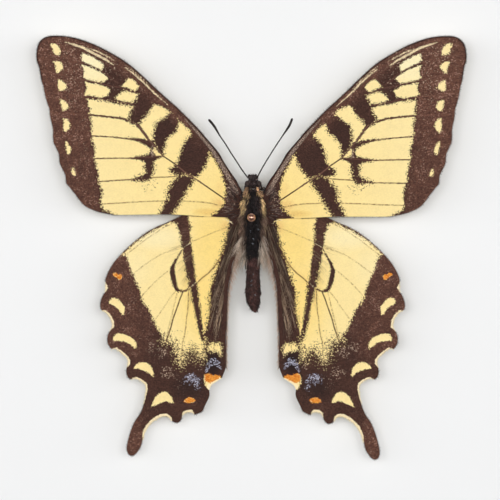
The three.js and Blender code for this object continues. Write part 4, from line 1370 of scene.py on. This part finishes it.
# Tufts: count, centre, radii, length, share outward, flow, tint, thickness
LOCK = (0.3, 0.6)
STUBBLE = (0.15, 0.35)
SHORT = (0.2, 0.45)
LEFT_FLOW = (-0.15, -0.7, 0)
THORAX_TUFTS = [
    (110, (-1.05, 5.45, 6.7), (0.2, 0.4, 0.6), LOCK, 0.5, LEFT_FLOW, shoulder_tint, FULL),
    (160, (-1.35, 4.6, 6.9), (0.25, 0.6, 0.6), LOCK, 0.5, LEFT_FLOW, shoulder_tint, FULL),
    (110, (0.75, 5.4, 6.8), (0.2, 0.4, 0.6), LOCK, 0.4, (0.35, -0.6, 0), shoulder_tint, FULL),
    (170, (1.4, 4.6, 6.9), (0.3, 0.5, 0.6), LOCK, 0.4, (0.45, -0.6, 0), shoulder_tint, FULL),
    (400, (0.1, 5.4, 6.8), (0.8, 0.6, 0.7), LOCK, 0.5, (0, -0.6, 0), black_tint, FULL),
    (260, (2.1, 5.2, 6.5), (0.25, 0.6, 0.5), STUBBLE, 0.6, (0.1, -0.5, 0), black_tint, FULL),
    (200, (-1.95, 4.3, 6.6), (0.25, 0.6, 0.5), STUBBLE, 0.6, (-0.1, -0.5, 0), black_tint, FULL),
    (240, (-1.0, 5.95, 6.2), (0.36, 0.5, 0.7), SHORT, 0.5, (-0.1, -0.5, 0), black_tint, KNOB),
    (240, (1.3, 5.95, 6.2), (0.4, 0.5, 0.7), SHORT, 0.5, (0.1, -0.5, 0), black_tint, KNOB),
]
HEAD_TUFTS = [
    (900, HEAD["centre"], (0.9, 0.88, 0.95), (0.25, 0.5), 0.35, (0, 0.35, 0), head_tint, HEAD_HAIR),
    (700, (0.15, 7.2, 6.0), (0.72, 0.4, 0.9), (0.35, 0.6), 0.2, (0, 1.0, 0), head_tint, HEAD_HAIR),
]
GLINTS = [
    (0, -3.8, 8.3), (-0.5, -2.3, 8.3), (0.9, -2, 8.3), (0.5, -1.2, 8.3), (-0.1, -4.6, 8.3),
    (-0.3, -11.6, 7.35), (0, -10.4, 7.3), (-0.2, -12.4, 7.4), (0.3, -14.1, 7.3),
]
GLINT_TUFT = ((0.1, 0.12, 0.1), (0.3, 0.5), 0.2, (0.5, -0.3, 0.2), glint_tint, (0.035, 0.05))
GLINT_HAIRS = 5


def build_skins():
    """The thorax, abdomen, head and eyes under the hair."""
    under = under_fur_material()
    thorax = THORAX.build("thorax_skin", THORAX_SIDES, under)
    points = mesh_points(thorax)
    tinted(thorax, thorax_tint(points, np.zeros(len(points))) * THORAX_SKIN_SHADE)
    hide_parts("thorax")
    abdomen = ABDOMEN.build("abdomen_skin", ABDOMEN_SIDES, under)
    tinted(abdomen, abdomen_tint(mesh_points(abdomen), 0))
    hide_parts("abdomen")
    head = ellipsoid("head_skin", HEAD["centre"], HEAD, under)
    tinted(head, blend(BLACK_FUR, BROWN_FUR, np.full(len(head.data.vertices), 0.4)))
    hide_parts("head")
    eye = eye_material()
    for side, centre in EYES.items():
        ball = ellipsoid("eye_ball_" + side, centre, EYE, eye)
        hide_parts("eye_" + side)


def build_fur(fur):
    """The hair that stands on the body."""
    random = np.random.default_rng(BODY_SEED)
    thorax_fur = [fur_on(random, THORAX, *coat) for coat in THORAX_COATS]
    thorax_fur += [ball_fur(random, *tuft) for tuft in THORAX_TUFTS]
    for arc in FLANKS:
        for count, span, *rest in FLANK_COATS:
            thorax_fur.append(fur_on(random, THORAX, count, span, arc, *rest))
    for place in GLINTS:
        thorax_fur.append(ball_fur(random, GLINT_HAIRS, place, *GLINT_TUFT))
    hair_piece("thorax_fur", thorax_fur, fur)
    hair_piece("abdomen_fur", [fur_on(random, ABDOMEN, *ABDOMEN_COAT)], fur)
    hair_piece("head_fur", [ball_fur(random, *tuft) for tuft in HEAD_TUFTS], fur)


def mirrored(points, sign):
    return [(sign * x, y, z) for x, y, z in points]


def build_rods():
    """The antennae, palps, legs and tongue."""
    horn = horn_material()

    def rod(name, node, points, radius):
        step = ROD_STEP[name.split("_")[0]]
        shape = tube(name, points, radius, ROD_SIDES, step, horn)
        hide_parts(node)

    for side, points in ANTENNAE.items():
        rod("antenna_rod_" + side, "antenna_" + side, points, antenna_radius)
    for side, sign in SIDES.items():
        rod("palp_rod_" + side, "palp_" + side, mirrored(PALP, sign), palp_radius)
        for name, points in LEGS.items():
            part = name + "_" + side
            rod("leg_rod_" + part, "leg_" + part, mirrored(points, sign), leg_radius)
    coil = []
    x, y, z = COIL["centre"]
    for i in range(COIL["steps"] + 1):
        share = i / COIL["steps"]
        angle = math.pi / 2 - share * COIL["turns"] * 2 * math.pi
        reach = COIL["radius"] - COIL["inward"] * share
        coil.append((x, y + reach * math.cos(angle), z + reach * math.sin(angle)))
    rod("tongue", "proboscis", coil, tongue_radius)


# Hair that lies over the wings
FOREWING_BASE = [
    (2.0, 4.4), (3.0, 5.2), (3.6, 5.4), (4.0, 4.2), (4.0, 2.6), (4.2, 1.6), (4.6, 0.6), (4, 0.2),
    (2.2, 0.2),
]
HINDWING_BAND = [
    (2.4, -0.5), (3.9, -0.8), (4.2, -2.5), (4.9, -5.5), (5.9, -8.6), (6.8, -11.6), (7.2, -14),
    (7.4, -17), (7.5, -19.6), (5.8, -20), (5.5, -18), (5.3, -14), (4.9, -11), (4.2, -8),
    (3.2, -5.4), (2.5, -3),
]
STRIPE_HAIR = [(11.4, -4), (13.2, -4), (12.4, -9), (11.6, -13.5), (10.4, -13.5), (10.6, -9)]
INNER_MARGIN = [
    (1.9, -3.4), (2.6, -5.5), (3.4, -7.5), (4, -10), (4.6, -14), (4.8, -18), (4.95, -24),
    (5, -27.8),
]
FOREWING_LOCKS = (paint(66, 46, 42), paint(232, 196, 182))
HINDWING_LOCKS = (paint(60, 41, 34), paint(216, 184, 152))
STRIPE_LOCKS = (paint(84, 62, 48), paint(214, 190, 152))
# Wing, outline, count, the place that the hair points away from, length, lift, tints, thickness
LYING_HAIR = [
    ("forewing", FOREWING_BASE, 130, (0.5, 1.5), (0.8, 1.9), 0.2, FOREWING_LOCKS, (0.025, 0.04)),
    ("hindwing", HINDWING_BAND, 440, (1.5, 4), (1.5, 4.5), 0.25, HINDWING_LOCKS, (0.018, 0.03)),
    ("hindwing", STRIPE_HAIR, 60, (7, -3), (2, 5), 0.2, STRIPE_LOCKS, (0.012, 0.018)),
]
MARGIN_HAIRS = 2200
MARGIN_DARK_SHARE = 0.62
MARGIN_FUR = paint(196, 150, 122)
MARGIN_THICKNESS = 0.02
FRINGE_SPACING = 0.09
FRINGE_START = 9.0  # nearer to the body than this, the wings' edges have no fringe
FRINGE_PALE_REACH = 0.1
FRINGE_FUR = paint(250, 230, 180)
FRINGE_THICKNESS = 0.032


def lying_hair(random, side, kind, outline, count, source, length, lift, tints, thickness):
    """Hair on a wing that points away from the wing's joint, in locks of one colour."""
    places = scattered(random, outline, count)
    locks = scattered(random, outline, count // 4)
    lock = np.argmin(np.hypot(*(places[:, None] - locks[None]).transpose(2, 0, 1)), axis=1)
    lock_turn = random.normal(0, 0.08, len(locks))[lock]
    lock_share = (random.uniform(0, 1, len(locks)) ** 3)[lock]
    away = places - source
    away /= np.linalg.norm(away, axis=1)[:, None]
    reach = random.uniform(*length, count)
    turn = lock_turn + random.normal(0, 0.05, count)
    ahead = np.column_stack([
        away[:, 0] * np.cos(turn) - away[:, 1] * np.sin(turn),
        away[:, 0] * np.sin(turn) + away[:, 1] * np.cos(turn),
    ])
    ends = places + ahead * reach[:, None]
    start = wing_points(kind, side, places, 0.02)
    stop = wing_points(kind, side, ends, lift * random.uniform(0.5, 1.5, count))
    arch = np.column_stack([np.zeros((count, 2)), np.full(count, 0.25 * lift)])
    share = np.clip(lock_share + random.normal(0, 0.12, count), 0, 1)
    brightness = 0.42 + 0.7 * ramp(-places[:, 1], 4, 9)
    colours = blend(*tints, share) * brightness[:, None]
    return start, stop - start + arch, -arch, colours, random.uniform(*thickness, count)


def margin_hair(random, side):
    """Fine hair, partly pale, along the edge of the hindwing that faces the abdomen."""
    curve = smooth_curve(INNER_MARGIN, 0.05)
    places = curve[random.integers(0, len(curve), MARGIN_HAIRS)]
    count = len(places)
    pale = random.uniform(0, 1, count) > MARGIN_DARK_SHARE
    long = 1 + 1.6 * ramp(places[:, 1], -15, 7)
    pale_reach = long * random.uniform(0.3, 0.9, count)
    reach = np.where(pale, pale_reach, random.uniform(0.15, 0.5, count))[:, None]
    start = wing_points("hindwing", side, places, 0.0)
    ahead = np.column_stack([
        -SIDES[side] * random.uniform(0.25, 0.8, count), random.uniform(-1.1, -0.5, count),
        random.normal(-0.1, 0.2, count),
    ])
    light = blend(PALE_FUR, MARGIN_FUR, random.uniform(0, 1, count))
    tints = blend(BROWN_FUR, light, pale)
    droops = reach * np.array([0, -0.15, -0.1])
    return start, ahead * reach, droops, tints, np.full(count, MARGIN_THICKNESS)


def fringe(random, kind, side, pale_near):
    """Short hairs all round a wing's outer edge, pale in the hollows between the scallops."""
    rim = smooth_curve(WINGS[kind]["outline"], FRINGE_SPACING, closed=True)
    ahead = np.roll(rim, -1, axis=0) - np.roll(rim, 1, axis=0)
    out = np.column_stack([ahead[:, 1], -ahead[:, 0]])
    if depth_inside(rim[:1] + 0.01 * out[:1], rim)[0] > 0:
        out = -out
    out /= np.linalg.norm(out, axis=1)[:, None]
    keep = rim[:, 0] > FRINGE_START
    rim, out = rim[keep], out[keep]
    count = len(rim)
    reach = random.uniform(0.12, 0.3, count)[:, None]
    out = out + random.normal(0, 0.25, out.shape)
    start = wing_points(kind, side, rim, random.uniform(-0.03, 0.03, count))
    stop = wing_points(kind, side, rim + out * reach, random.uniform(-0.05, 0.05, count))
    pale = np.zeros(count)
    if pale_near:
        pale = deepest(rim, pale_near) > -FRINGE_PALE_REACH
    tints = blend(BROWN_FUR, FRINGE_FUR, pale) * random.uniform(0.8, 1.2, (count, 1))
    return start, stop - start, np.zeros((count, 3)), tints, np.full(count, FRINGE_THICKNESS)


def build_wing_hair(fur):
    """The hair on and round the wings. Both sides start from the same seed."""
    for side in SIDES:
        random = np.random.default_rng(WING_SEED)
        groups = [lying_hair(random, side, *coat) for coat in LYING_HAIR]
        groups += [
            margin_hair(random, side),
            fringe(random, "forewing", side, None),
            fringe(random, "hindwing", side, HINDWING_RIM),
        ]
        hair_piece("wing_hair_" + side, groups, fur)


# The pin
STEEL = (paint(88, 88, 90), paint(120, 120, 122))
COPPER = (paint(152, 112, 92), paint(206, 158, 138))
SHAFT_PROFILE = [
    (0, -19.3), (0.03, -19.2), (0.12, -18.6), (0.2, -17.8), (0.225, -17.3), (0.225, 0),
    (0.225, 17.6), (0, 17.65),
]
SHAFT_SIDES = 24
PIN_HEAD = {"radius": 0.75, "level": 17.95, "rings": 26, "sides": 40}


def pin_material(name, dull, bright):
    s = Shader(name, Metallic=1.0)
    marks = s.noise(s.stretched(s.place(), (1.0, 1.0, 0.2)), 5000, 3.0)
    return s.feed(
        Base_Color=s.mix(marks, dull, bright),
        Roughness=marks * 0.2 + 0.2,
        Normal=s.bump(s.noise(s.place(), 3500, 1.0), 0.0001, 0.6),
    )


def turned(name, profile, sides, material):
    """A turned shape about the pin's axis, from (radius, height) points."""
    turns = around(sides)
    rings = []
    for radius, height in profile[1:-1]:
        rings.append(np.column_stack([
            radius * np.cos(turns) - MIDLINE_X, radius * np.sin(turns), np.full(sides, height),
        ]))
    ends = [(-MIDLINE_X, 0, profile[0][1]), (-MIDLINE_X, 0, profile[-1][1])]
    return skin(name, rings, ends, material)


def build_pin():
    steel = pin_material("pin_steel", *STEEL)
    shaft = turned("pin_rod", SHAFT_PROFILE, SHAFT_SIDES, steel)
    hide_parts("pin_shaft")
    ball = []
    for turn in np.linspace(0, math.pi, PIN_HEAD["rings"]):
        height = PIN_HEAD["level"] - PIN_HEAD["radius"] * math.cos(turn)
        ball.append((PIN_HEAD["radius"] * math.sin(turn), height))
    copper = pin_material("pin_copper", *COPPER)
    head = turned("pin_ball", ball, PIN_HEAD["sides"], copper)
    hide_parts("pin_head")


hair = fur_material()
build_skins()
build_fur(hair)
build_rods()
build_wing_hair(hair)
build_pin()

# Stage, lights and camera
FLOOR_REACH = 3.0  # metres
FLOOR_WHITES = ((0.865, 0.868, 0.87, 1.0), (0.875, 0.878, 0.88, 1.0))
# Name, place in millimetres, size in metres, power in watts
LIGHTS = [
    ("side_light_left", (-320, 30, 410), (0.24, 0.82), 1.33),
    ("side_light_right", (320, 30, 410), (0.24, 0.82), 1.33),
    ("top_light", (0, 40, 700), (0.5, 0.2), 2.25),
]
WORLD_STRENGTH = 0.08
CAMERA_LENS = 200
VIEW_WIDTH = 93.0
VIEW_CENTRE = (-0.25, -5.9)
WING_PLANE = 6.5
SENSOR = 36


def stage_floor():
    mesh = bpy.data.meshes.new("board_top")
    square = [(-1, -1), (1, -1), (1, 1), (-1, 1)]
    corners = [(x * FLOOR_REACH, y * FLOOR_REACH, 0) for x, y in square]
    mesh.from_pydata(corners, [], [(0, 1, 2, 3)])
    s = Shader("board_white", Roughness=0.9, Specular_IOR_Level=0.1)
    shade = s.noise(s.place(), 9.0, 2.0)
    mesh.materials.append(s.feed(Base_Color=s.mix(shade, *FLOOR_WHITES)))
    floor = bpy.data.objects.new("board_top", mesh)
    bpy.context.scene.collection.objects.link(floor)


def soft_light(name, place, size, power):
    """An area light that faces the pin's foot."""
    light = bpy.data.lights.new(name, "AREA")
    light.shape = "RECTANGLE"
    light.size, light.size_y = size
    light.energy = power
    lamp = bpy.data.objects.new(name, light)
    lamp.location = [v * MM for v in place]
    direction = -lamp.location.normalized()
    lamp.rotation_euler = direction.to_track_quat("-Z", "Y").to_euler()
    bpy.context.scene.collection.objects.link(lamp)


def studio():
    for light in LIGHTS:
        soft_light(*light)
    world = bpy.data.worlds.new("studio")
    world.use_nodes = True
    background = world.node_tree.nodes["Background"]
    background.inputs["Color"].default_value = (1, 1, 1, 1)
    background.inputs["Strength"].default_value = WORLD_STRENGTH
    bpy.context.scene.world = world
    bpy.context.scene.view_settings.view_transform = "Standard"


def camera():
    data = bpy.data.cameras.new("camera")
    data.lens = CAMERA_LENS
    data.sensor_width = SENSOR
    distance = VIEW_WIDTH * CAMERA_LENS / SENSOR
    eye = bpy.data.objects.new("camera", data)
    eye.location = [v * MM for v in (*VIEW_CENTRE, WING_PLANE + distance)]
    bpy.context.scene.collection.objects.link(eye)
    bpy.context.scene.camera = eye


stage_floor()
studio()
camera()
